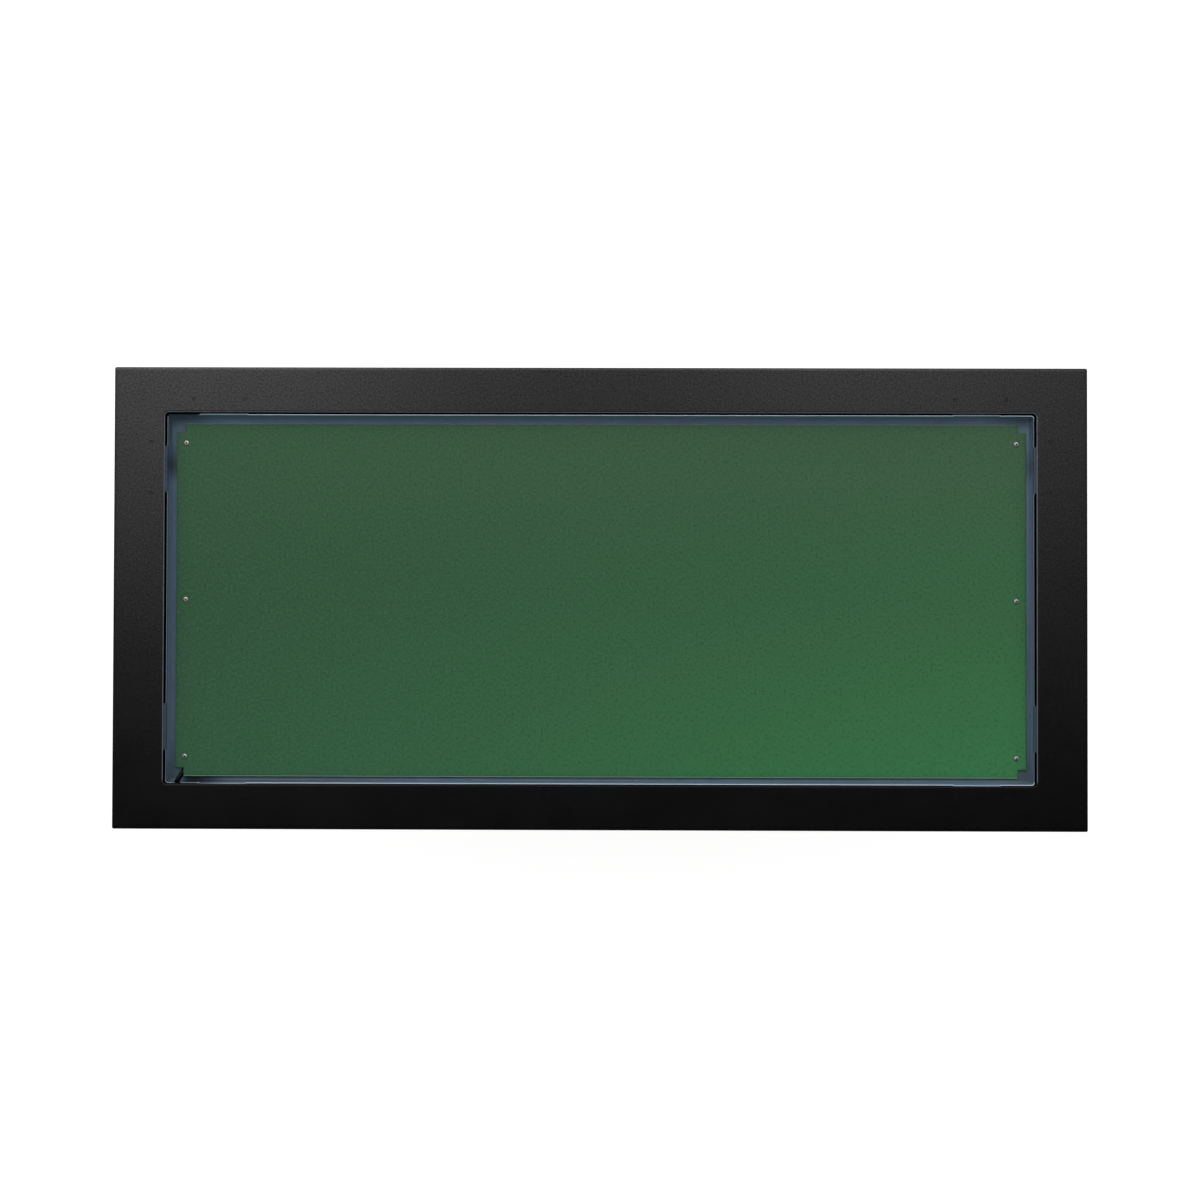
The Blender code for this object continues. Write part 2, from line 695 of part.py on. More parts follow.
def build_end(side, meshes, materials):
    """One end's brackets and leg frame. The right end is the left one turned half round."""
    left = side == "left"
    location = (-HINGE_X if left else HINGE_X, 0, HINGE_Z)
    turn = 0 if left else math.pi
    fixed = empty(f"{side}_brackets", location, turn)
    swing = empty(f"{side}_leg_hinge", location, turn)
    black, zinc = materials["black_powder_coat"], materials["bright_zinc"]
    place(f"leg_frame_{side}", meshes["leg_frame"], black, swing)
    for sign in (-1, 1):
        where = f"{side}_{'front' if (sign < 0) == left else 'back'}"
        outwards = 0 if sign < 0 else math.pi
        leg = Matrix.Translation((0, sign * LEG_Y, 0))
        place(f"hinge_bracket_{where}", meshes["bracket"], black, fixed, leg.translation)
        # The bolts' heads face out of the table, and their nuts and knobs face in.
        for part in ("pivot_bolt", "pivot_nut"):
            mesh = meshes[part] if sign < 0 else meshes[part + "_turned"]
            place(f"{part}_{where}", mesh, zinc, fixed, leg.translation)
        inwards = (-math.pi / 2 if sign < 0 else math.pi / 2, outwards, 0)
        head = Vector((0, sign * (LEG_Y + CHEEK_OUTER + GAP), -SLOT_RADIUS))
        seat = Vector((0, sign * (LEG_Y - CHEEK_OUTER - GAP), -SLOT_RADIUS))
        knob_seat = seat - Vector((0, sign * (WASHER_THICKNESS + GAP), 0))
        place(f"lock_bolt_{where}", meshes["lock_bolt"], zinc, swing, head, inwards)
        place(f"lock_washer_{where}", meshes["washer"], zinc, swing, seat, inwards)
        place(f"lock_knob_{where}", meshes["knob"], materials["black_plastic"], swing, knob_seat, inwards)
        foot = (0, sign * LEG_Y, -HINGE_Z)
        place(f"foot_cap_{where}", meshes["foot_cap"], materials["black_rubber"], swing, foot)


def build_legs(materials):
    half_turn = Matrix.Rotation(math.pi, 4, "Z")
    bolt, nut = pivot_bolt(), pivot_nut()
    meshes = {
        "leg_frame": leg_frame(),
        "bracket": hinge_bracket(),
        "pivot_bolt": bolt,
        "pivot_nut": nut,
        "pivot_bolt_turned": moved(bolt, half_turn),
        "pivot_nut_turned": moved(nut, half_turn),
        "lock_bolt": lock_bolt(),
        "washer": lock_washer(),
        "knob": lock_knob(),
        "foot_cap": foot_cap(),
    }
    for side in ("left", "right"):
        build_end(side, meshes, materials)


def main():
    clear_scene()
    materials = {name: make_material(name) for name in FINISHES}
    build_top(materials)
    build_legs(materials)


main()
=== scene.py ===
"""The looks of the folding poker table top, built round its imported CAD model.

Metres, in the CAD model's own frame: the floor is z = 0, +X runs along the table and +Y to its back.
Sheet-metal pieces are lofted or extruded with their real bend radii, and each material is procedural.
"""

import json
import math
import random

import bmesh
import bpy
from mathutils import Matrix, Vector, noise


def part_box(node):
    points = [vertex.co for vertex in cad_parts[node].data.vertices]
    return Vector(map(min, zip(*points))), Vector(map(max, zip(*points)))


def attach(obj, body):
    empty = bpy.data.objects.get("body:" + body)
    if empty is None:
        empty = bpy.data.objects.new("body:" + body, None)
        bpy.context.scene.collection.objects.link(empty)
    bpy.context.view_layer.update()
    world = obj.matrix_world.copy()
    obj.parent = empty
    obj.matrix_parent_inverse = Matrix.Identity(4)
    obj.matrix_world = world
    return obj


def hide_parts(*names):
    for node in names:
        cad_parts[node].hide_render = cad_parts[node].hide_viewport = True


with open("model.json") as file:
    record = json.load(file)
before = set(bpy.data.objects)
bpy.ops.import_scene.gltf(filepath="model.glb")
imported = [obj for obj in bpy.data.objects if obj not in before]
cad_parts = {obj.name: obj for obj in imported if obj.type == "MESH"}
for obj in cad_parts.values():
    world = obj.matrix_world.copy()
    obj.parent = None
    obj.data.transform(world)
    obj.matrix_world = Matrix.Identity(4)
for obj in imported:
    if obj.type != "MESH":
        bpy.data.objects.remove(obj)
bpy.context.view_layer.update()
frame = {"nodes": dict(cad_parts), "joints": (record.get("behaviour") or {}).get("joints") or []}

MM = 0.001
TABLE = "table_top"
BLACK, GREY_BLUE, GREEN = "black_powder_coat", "blue_grey_zinc", "green_cloth"
ZINC, RUBBER, PLASTIC = "bright_zinc", "black_rubber", "black_plastic"

# ---------------------------------------------------------------- sizes read from the frame

RIM_LOW, RIM_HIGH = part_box("rim_frame")
TOP = RIM_HIGH.z
HALF_LENGTH, HALF_DEPTH = RIM_HIGH.x, RIM_HIGH.y
CLOTH_LOW, CLOTH_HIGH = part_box("felt_cover")
BOARD_LOW, BOARD_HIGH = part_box("play_board")
LINER_LOW, LINER_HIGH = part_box("liner_ring")
TUBE_LOW, TUBE_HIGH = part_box("leg_frame_left")
JOINTS = {joint["name"]: joint for joint in frame["joints"]}
HINGE = Vector(JOINTS["left_leg_fold"]["pos_m"])
KNOB_PIVOT = Vector(JOINTS["left_front_knob_turn"]["pos_m"])
LEG_Y = -KNOB_PIVOT.y
SLOT_RADIUS = HINGE.z - KNOB_PIVOT.z

# ---------------------------------------------------------------- sizes the boxes don't give

END_BORDER = 83.5 * MM
SIDE_BORDER = 74.5 * MM
WINDOW_X = HALF_LENGTH - END_BORDER
WINDOW_Y = HALF_DEPTH - SIDE_BORDER
WINDOW_CORNER = 6.5 * MM
LEAST_CORNER = 0.4 * MM
WINDOW_EDGE = 1.2 * MM
EDGE_FLAT = 4 * MM
EDGE_STEPS = 5
RIM_SHEET = 2 * MM
RIM_BEND = 3 * MM
RIM_CORNER = 3 * MM
BESIDE_BEND = 3 * MM
SKIRT_LIP = 15 * MM

LINER_SHEET = 1.5 * MM
LINER_TOP = LINER_HIGH.z
LEDGE_TOP = LINER_LOW.z + LINER_SHEET
LEDGE_WIDTH = 45 * MM
LINER_CORNER = 4 * MM
LINER_BEND = 6 * MM
END_SLOT = 3.6 * MM
FRONT_SLOT = 0.6 * MM
BACK_SLOT = 3.2 * MM
LIP_ROUND = 0.6 * MM
TAB_WEB = 76 * MM
TAB_FLANGE = 104 * MM
TAB_REACH = 33 * MM
TAB_BEND = 2.8 * MM
TAB_FILLET = 1.3 * MM
TAB_STEPS = 6
LONG_TAB_X = 619 * MM
SHORT_TAB_Y = 212 * MM
SEAM_ANGLE = math.radians(57)
SEAM_FROM_WINDOW = 16.4 * MM
SEAM_WIDTH = 8.4 * MM
SEAM_LEAN = 0.30
RIB_SPAN = (0.9 * MM, 2.1 * MM)
RIB_START, RIB_STOP = 2.5 * MM, 8 * MM

ANGLE_SHEET = 1.5 * MM
ANGLE_FLANGE = 46 * MM
ANGLE_BEND = 2.5 * MM
# The black sheet of painted shade under the open joint.
SHADE_SHEET = 0.25 * MM
SHADE_SHEET_HALF, SHADE_SHEET_OVERLAP = 14 * MM, 2 * MM

BOARD_NOTCH = 14 * MM
CLOTH_SHEET = 0.8 * MM
CLOTH_EDGE = 1.3 * MM
CLOTH_CELL = 5 * MM
CLOTH_WAVE, WAVES_PER_M = 0.10 * MM, 9
CLOTH_RIPPLE, RIPPLES_PER_M = 0.03 * MM, 45
DIMPLE_DEPTH = 0.45 * MM
DIMPLE_WIDTH = 7 * MM
DIMPLE_REACH = 24 * MM
SCREW_HEAD = 4.2 * MM
SCREW_HEAD_HEIGHT = 2.2 * MM
SCREW_SHANK = 1.9 * MM
SCREW_LENGTH = 10 * MM
RECESS_SPAN = 2.7 * MM
RECESS_DEPTH = 1.7 * MM
SCREW_RECESS = (RECESS_SPAN, SCREW_HEAD_HEIGHT - 0.6 * MM, SCREW_HEAD_HEIGHT - 0.1 * MM)

WELD_PITCH = 84 * MM
WELD_FROM_WINDOW = 22.5 * MM
WELD_RADIUS = 3.5 * MM
LONG_SIDE_DRIFT, SHORT_SIDE_DRIFT = 7 * MM, 5 * MM

TUBE = 30 * MM
TUBE_WALL = 1.5 * MM
TUBE_CORNER = 3 * MM
CROSS_RADIUS = 11 * MM
CROSS_WALL = 1.5 * MM
UPPER_CROSS_DROP = 120 * MM
CHANNEL_SHEET, CHANNEL_BEND = 2 * MM, 3.5 * MM
RAIL_WALL, RAIL_CORNER = 1.5 * MM, 2.5 * MM
RAIL_BEAD, BRACKET_BEAD, LEG_BEAD = 1.3 * MM, 1.7 * MM, 1.8 * MM
BRACKET_BEAD_END = 29 * MM
BEAD_SIDES, BEAD_STEP = 8, 0.7 * MM
BEAD_RIPPLE = 2.2 * MM
BEAD_SWELL, BEAD_JITTER = 0.14, 0.05
STRETCHER_HEIGHT = 150 * MM
BRACKET_SHEET = 3 * MM
CHEEK_INNER = TUBE / 2 + 0.5 * MM
CHEEK_OUTER = CHEEK_INNER + BRACKET_SHEET
AXIS_BELOW_BASE = 20 * MM
CHEEK_BACK = 16 * MM
CHEEK_RADIUS = 48.5 * MM
BOLT_RADIUS = 4 * MM
BOLT_HOLE = 4.3 * MM
BOLT_FLATS = 13 * MM
BOLT_HEAD, NUT_HEX, NUT_HEIGHT = 5.5 * MM, 6.2 * MM, 8 * MM
THREAD_PITCH, THREAD_DEPTH = 1.25 * MM, 0.45 * MM
DOME_RADIUS, DOME_HEIGHT, DOME_RIM = 10 * MM, 4 * MM, 0.4 * MM
SLOT_HALF = 4.6 * MM
SEAT_GAP = 0.3 * MM
FOOT_SOLE = 5 * MM
FOOT_HEIGHT = 30 * MM
FOOT_HALF = 18.5 * MM
FOOT_CORNER = 6 * MM
PAD_HEIGHT = 7.2 * MM
WASHER, WASHER_RADIUS = 1.5 * MM, 12 * MM
KNOB_RADIUS = 19 * MM
KNOB_LOBE = 3.5 * MM
KNOB_LOBES = 6
KNOB_BORE = 14 * MM

# ---------------------------------------------------------------- mesh tools


def in_mm(*points):
    """Points given in millimetres, as metres."""
    return [(a * MM, b * MM) for a, b in points]


def mesh_from(bm):
    """Closes off a bmesh as a mesh whose faces point outwards."""
    bmesh.ops.recalc_face_normals(bm, faces=bm.faces)
    mesh = bpy.data.meshes.new("shape")
    bm.to_mesh(mesh)
    bm.free()
    return mesh


def prism(outline, axis, low, high):
    """The 2D outline extruded along an axis. The outline's plane is XY, XZ or YZ for axis Z, Y or X."""
    place = {
        "Z": lambda a, b, c: (a, b, c),
        "Y": lambda a, b, c: (a, c, b),
        "X": lambda a, b, c: (c, a, b),
    }[axis]
    bm = bmesh.new()
    face = bm.faces.new([bm.verts.new(place(a, b, low)) for a, b in outline])
    grown = bmesh.ops.extrude_face_region(bm, geom=[face])
    far = [item for item in grown["geom"] if isinstance(item, bmesh.types.BMVert)]
    bmesh.ops.translate(bm, verts=far, vec=Vector(place(0, 0, high - low)))
    return mesh_from(bm)


def slab(x_span, y_span, z_span):
    """A box between two ends along each axis."""
    (x0, x1), (y0, y1) = x_span, y_span
    return prism([(x0, y0), (x1, y0), (x1, y1), (x0, y1)], "Z", *z_span)


def disc(radius, segments=32, centre=(0, 0)):
    turns = [math.tau * i / segments for i in range(segments)]
    return [(centre[0] + radius * math.cos(t), centre[1] + radius * math.sin(t)) for t in turns]


def rod(radius, axis, low, high, centre=(0, 0), segments=32):
    return prism(disc(radius, segments, centre), axis, low, high)


def rows_of(bm, rings):
    """The rings' points as vertices."""
    return [[bm.verts.new(point) for point in ring] for ring in rings]


def bridge(bm, near, far, shift=0):
    """The band of faces between two rings of equal length. The far one starts shift points later."""
    count = len(near)
    return [
        bm.faces.new((near[i], near[(i + 1) % count], far[(i + 1 + shift) % count], far[(i + shift) % count]))
        for i in range(count)
    ]


def turned(profile, segments):
    """The (radius, height) profile spun about Z. It starts and ends on the axis."""
    bm = bmesh.new()
    rings = [
        [(x, y, height) for x, y in disc(radius, segments)] if radius else [(0, 0, height)]
        for radius, height in profile
    ]
    rows = rows_of(bm, rings)
    for near, far in zip(rows, rows[1:]):
        for i in range(segments):
            j = (i + 1) % segments
            corners = [near[i % len(near)], near[j % len(near)], far[j % len(far)], far[i % len(far)]]
            bm.faces.new(list(dict.fromkeys(corners)))
    return mesh_from(bm)


def arc(centre, radius, start, end, steps):
    """Points on an arc, from the start angle to the end angle in degrees."""
    points = []
    for i in range(steps + 1):
        turn = math.radians(start + (end - start) * i / steps)
        points.append((centre[0] + radius * math.cos(turn), centre[1] + radius * math.sin(turn)))
    return points


def rounded_rectangle(half_x, half_y, radius, steps, spans=(1, 1)):
    """A rounded rectangle. spans divides its straight sides: along X, along Y."""
    points = []
    signs = ((1, 1), (-1, 1), (-1, -1), (1, -1))
    for quarter, (sx, sy) in enumerate(signs):
        centre = (sx * (half_x - radius), sy * (half_y - radius))
        corner = arc(centre, radius, 90 * quarter, 90 * (quarter + 1), steps)
        points += corner
        next_x, next_y = signs[(quarter + 1) % 4]
        following = (next_x * (half_x - radius), next_y * (half_y - radius))
        turn = math.radians(90 * (quarter + 1))
        far = (following[0] + radius * math.cos(turn), following[1] + radius * math.sin(turn))
        near = corner[-1]
        pieces = spans[0] if quarter % 2 == 0 else spans[1]
        for i in range(1, pieces):
            points.append(tuple(n + (f - n) * i / pieces for n, f in zip(near, far)))
    return points


def frame_loft(section, steps, spans=(1, 1), edge_stops=()):
    """A closed rectangular frame from stops of (half_x, half_y, corner radius, z).

    The faces that start at an edge stop take the second material."""
    bm = bmesh.new()
    rows = rows_of(bm, [
        [(x, y, z) for x, y in rounded_rectangle(half_x, half_y, radius, steps, spans)]
        for half_x, half_y, radius, z in section
    ])
    for stop, (near, far) in enumerate(zip(rows, rows[1:] + rows[:1])):
        for face in bridge(bm, near, far):
            face.material_index = int(stop in edge_stops)
    return mesh_from(bm)


def loft(rings):
    """A closed body through rings of equal length, with flat ends."""
    bm = bmesh.new()
    rows = rows_of(bm, rings)
    for near, far in zip(rows, rows[1:]):
        bridge(bm, near, far)
    bm.faces.new(rows[0])
    bm.faces.new(rows[-1])
    return mesh_from(bm)


def moved(mesh, matrix):
    """A copy of the mesh, moved by a matrix."""
    copy = mesh.copy()
    copy.transform(matrix)
    return copy


def shifted(mesh, y=0.0, z=0.0):
    return moved(mesh, Matrix.Translation((0, y, z)))


def gathered(meshes):
    """Several meshes as one, without joining their surfaces."""
    bm = bmesh.new()
    for mesh in meshes:
        bm.from_mesh(mesh)
    return mesh_from(bm)


def evaluated(obj):
    """The mesh after the object's modifiers. The object itself goes."""
    bpy.context.view_layer.update()
    graph = bpy.context.evaluated_depsgraph_get()
    mesh = bpy.data.meshes.new_from_object(obj.evaluated_get(graph))
    bpy.data.objects.remove(obj, do_unlink=True)
    return mesh


def temporary(mesh):
    obj = bpy.data.objects.new("temporary", mesh)
    bpy.context.scene.collection.objects.link(obj)
    return obj


def boolean(base, tool, operation):
    first, second = temporary(base), temporary(tool)
    modifier = first.modifiers.new("boolean", "BOOLEAN")
    modifier.operation = operation
    modifier.solver = "EXACT"
    modifier.object = second
    result = evaluated(first)
    bpy.data.objects.remove(second, do_unlink=True)
    return result


def cut(base, *tools):
    return boolean(base, gathered(tools), "DIFFERENCE")


def joined(base, *others):
    for other in others:
        base = boolean(base, other, "UNION")
    return base


def bevelled(mesh, width, segments=2, angle=35):
    obj = temporary(mesh)
    modifier = obj.modifiers.new("bevel", "BEVEL")
    modifier.width = width
    modifier.segments = segments
    modifier.limit_method = "ANGLE"
    modifier.angle_limit = math.radians(angle)
    modifier.use_clamp_overlap = True
    return evaluated(obj)


def piece(name, mesh, materials, slot, body, replaces=(), matrix=None):
    """Shows a mesh as a named piece that rides on a body and stands for the CAD nodes it replaces."""
    materials = materials if isinstance(materials, list) else [materials]
    while len(mesh.materials) < len(materials):
        mesh.materials.append(None)
    for index, material in enumerate(materials):
        mesh.materials[index] = material
    mesh.shade_smooth()
    mesh.set_sharp_from_angle(angle=math.radians(32))
    obj = bpy.data.objects.new(name, mesh)
    bpy.context.scene.collection.objects.link(obj)
    if matrix is not None:
        obj.matrix_world = matrix
    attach(obj, body)
    if replaces:
        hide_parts(*replaces)


def weld_bead(points, bead, seed, closed=False):
    """A rippled round bead along a path. It tapers at both ends, unless the path is closed."""
    rng = random.Random(seed)
    count = len(points)
    rings = []
    travelled = 0.0
    phase = rng.uniform(0, math.tau)
    for i in range(count):
        here = Vector(points[i])
        before = Vector(points[(i - 1) % count] if closed or i else points[i])
        after = Vector(points[(i + 1) % count] if closed or i < count - 1 else points[i])
        along = (after - before).normalized()
        across = along.orthogonal().normalized()
        other = along.cross(across)
        travelled += (here - before).length
        wave = BEAD_SWELL * math.sin(math.tau * travelled / BEAD_RIPPLE + phase)
        swell = 1 + wave + rng.uniform(-BEAD_JITTER, BEAD_JITTER)
        taper = 1.0 if closed else min(1.0, 0.35 + 0.4 * min(i, count - 1 - i))
        rings.append([here + across * a + other * b for a, b in disc(bead * swell * taper, BEAD_SIDES)])
    if not closed:
        return loft(rings)
    bm = bmesh.new()
    rows = rows_of(bm, rings)
    # Neighbouring rings are matched by their nearest points, because their starts may not line up.
    for near, far in zip(rows, rows[1:] + rows[:1]):
        bridge(bm, near, far, min(range(BEAD_SIDES), key=lambda s: (far[s].co - near[0].co).length))
    return mesh_from(bm)


def line_points(start, end):
    """Evenly spaced points from start to end."""
    start, end = Vector(start), Vector(end)
    count = max(3, round((end - start).length / BEAD_STEP))
    return [start.lerp(end, i / count) for i in range(count + 1)]


def ring_points(centre, radius, count):
    """Points round a circle about the Y axis."""
    return [Vector(centre) + Vector((x, 0, z)) for x, z in disc(radius, count)]


# ---------------------------------------------------------------- material tools


class Nodes:
    """Short calls for the nodes of a material or of the world."""

    def __init__(self, tree):
        self.tree = tree

    def put(self, socket, value):
        """Links an output to a socket, or sets the socket's value."""
        if isinstance(value, bpy.types.NodeSocket):
            self.tree.links.new(value, socket)
        elif isinstance(value, (tuple, list)) and len(value) == 3 and socket.type == "RGBA":
            socket.default_value = (*value, 1)
        else:
            socket.default_value = value

    def made(self, kind, output, inputs=None, **settings):
        """One output of a new node. Its inputs are given by name or by number."""
        node = self.tree.nodes.new("ShaderNode" + kind)
        for key, value in settings.items():
            setattr(node, key, value)
        for key, value in (inputs or {}).items():
            self.put(node.inputs[key], value)
        return node.outputs[output]

    def math(self, operation, a, b=0.0):
        return self.made("Math", 0, {0: a, 1: b}, operation=operation)

    def length(self, vector):
        return self.made("VectorMath", "Value", {0: vector}, operation="LENGTH")

    def times(self, *factors):
        product = factors[0]
        for factor in factors[1:]:
            product = self.math("MULTIPLY", product, factor)
        return product

    def remap(self, value, low, high, out_low=0.0, out_high=1.0, kind="SMOOTHSTEP"):
        """The value's range from low to high, carried over to another range and held at its ends."""
        ends = {"From Min": low, "From Max": high, "To Min": out_low, "To Max": out_high}
        return self.made("MapRange", "Result", {"Value": value, **ends}, interpolation_type=kind)

    def spread(self, noise, low, high):
        """Noise's usual range, from 0.3 to 0.7, carried over to another."""
        return self.remap(noise, 0.3, 0.7, low, high)

    def split(self, vector, letter):
        return self.made("SeparateXYZ", letter, {0: vector})


class Shader(Nodes):
    """A Principled material and the textures that feed it."""

    def __init__(self, name):
        self.material = bpy.data.materials.new(name)
        self.material.use_nodes = True
        super().__init__(self.material.node_tree)
        self.principled = self.tree.nodes["Principled BSDF"]
        self.place = self.made("TexCoord", "Object")

    def set(self, **inputs):
        for key, value in inputs.items():
            self.put(self.principled.inputs[key.replace("_", " ")], value)

    def stretched(self, scale):
        """The object's own coordinates, multiplied per axis."""
        return self.made("Mapping", "Vector", {"Vector": self.place, "Scale": scale})

    def noise(self, size, detail=3.0, roughness=0.55, vector=None):
        """Noise whose features are about this size in metres."""
        grain = {"Scale": 1 / size, "Detail": detail, "Roughness": roughness}
        return self.made("TexNoise", "Fac", {"Vector": vector or self.place, **grain})

    def cells(self, size):
        """Distance to the middle of cells of about this size in metres."""
        return self.made("TexVoronoi", "Distance", {"Vector": self.place, "Scale": 1 / size})

    def waves(self, size, axis, distortion):
        """Bands across an axis, this far apart in metres. The node's own period is tau / 20."""
        settings = {"Vector": self.place, "Scale": math.tau / 20 / size, "Distortion": distortion}
        return self.made("TexWave", "Fac", settings, bands_direction=axis)

    def mix(self, factor, a, b):
        """A colour between a and b. The node's sockets 6 and 7 are its colour inputs."""
        return self.made("Mix", 2, {"Factor": factor, 6: a, 7: b}, data_type="RGBA")

    def layers(self, base, *layers):
        """The base with (mask, colour) layers laid over it in turn."""
        for mask, colour in layers:
            base = self.mix(mask, base, colour)
        return base

    def facing_up(self):
        """How far the surface faces up, from -1 to 1."""
        return self.split(self.made("NewGeometry", "Normal"), "Z")

    def axis(self, letter):
        """The object's own coordinate along an axis."""
        return self.split(self.place, letter)

    def band(self, letter, low, high, *out):
        """A soft step along one of the object's own axes."""
        return self.remap(self.axis(letter), low, high, *out)

    def wear(self, radius=0.9 * MM, amount=1.0):
        """Broken-up patches along the edges, from how far a rounded-over normal leaves the true one."""
        normals = {
            0: self.made("Bevel", "Normal", {"Radius": radius}, samples=3),
            1: self.made("NewGeometry", "Normal"),
        }
        agreement = self.made("VectorMath", "Value", normals, operation="DOT_PRODUCT")
        patches = self.remap(self.noise(7 * MM, 4, 0.7), 0.42, 0.62, 0.15, 1.0)
        return self.times(self.remap(agreement, 0.985, 0.86), patches, amount)

    def spot(self, centre, size):
        """1 at a centre in the object's coordinates, falling to 0 at a distance of size along each axis."""
        about = {"Vector": self.place, "Location": centre, "Scale": size}
        return self.remap(self.length(self.made("Mapping", "Vector", about, vector_type="TEXTURE")), 1.0, 0.0)

    def bump(self, *layers):
        """Bumps from (height, depth in metres) pairs, stacked onto the surface's normal."""
        below = {}
        for height, depth in layers:
            relief = {"Height": height, "Distance": depth, "Strength": 1.0, **below}
            below = {"Normal": self.made("Bump", "Normal", relief)}
        self.set(**below)


def powder_coat(name, dark=0.0010, light=0.0018, gloss=0.37, wear=0.0):
    """Satin black: orange peel, faint mottling, lighter grit specks that grow towards the back as painted
    light, perhaps rubbed edges.
    """
    s = Shader(name)
    cloud = s.noise(90 * MM, 4)
    speck = s.remap(s.noise(1.6 * MM, 2, 0.7), 0.62, 0.76, 0.0, 0.22)
    grit = s.remap(s.noise(4.0 * MM, 2, 0.7), 0.35, 0.65, kind="LINEAR")
    # Painted light: the lighter grit specks grow stronger towards the back, where the light falls brighter.
    lit = s.remap(s.axis("Y"), -HALF_DEPTH, HALF_DEPTH, 0.2, 1.0, "LINEAR")
    base = s.layers(
        s.mix(cloud, (dark, dark * 0.96, dark), (light, light * 0.96, light)),
        (speck, (0.020, 0.0195, 0.020)),
        (s.times(grit, lit), (0.0060, 0.0059, 0.0060)),
    )
    if wear:
        base = s.mix(s.wear(amount=wear), base, (0.070, 0.070, 0.074))
    rough = s.math("ADD", s.spread(cloud, 0.20, 0.22), s.times(s.noise(3.2 * MM, 2), 0.02))
    sparkle = s.remap(s.noise(3.0 * MM, 2, 0.7), 0.3, 0.7, 0.50 * gloss, 1.50 * gloss, "LINEAR")
    s.set(Base_Color=base, Roughness=rough, Specular_IOR_Level=sparkle)
    s.bump((s.noise(1.5 * MM, 2), 0.012 * MM), (s.noise(60 * MM, 2), 0.08 * MM))
    return s.material


def window_edge_painted_highlight():
    """The rim's edge round the window: a lighter grey as a painted highlight, and painted near black with
    little shine along the front side, where no highlight falls.
    """
    s = Shader("window_edge_painted_highlight")
    patchy = s.noise(14 * MM, 3)
    # The lighter grey is the painted highlight along the window's edge.
    grey = s.mix(patchy, (0.075, 0.084, 0.096), (0.115, 0.128, 0.146))
    # Painted shade: along the front side the edge is near black and its shine is turned down.
    front = s.band("Y", -WINDOW_Y + 10 * MM, -WINDOW_Y + 2 * MM)
    s.set(Base_Color=s.mix(front, grey, (0.008, 0.007, 0.008)))
    s.set(Roughness=s.spread(patchy, 0.30, 0.42))
    s.set(Specular_IOR_Level=s.remap(front, 0, 1, 0.5, 0.04, "LINEAR"))
    s.bump((s.noise(1.0 * MM, 2), 0.01 * MM))
    return s.material


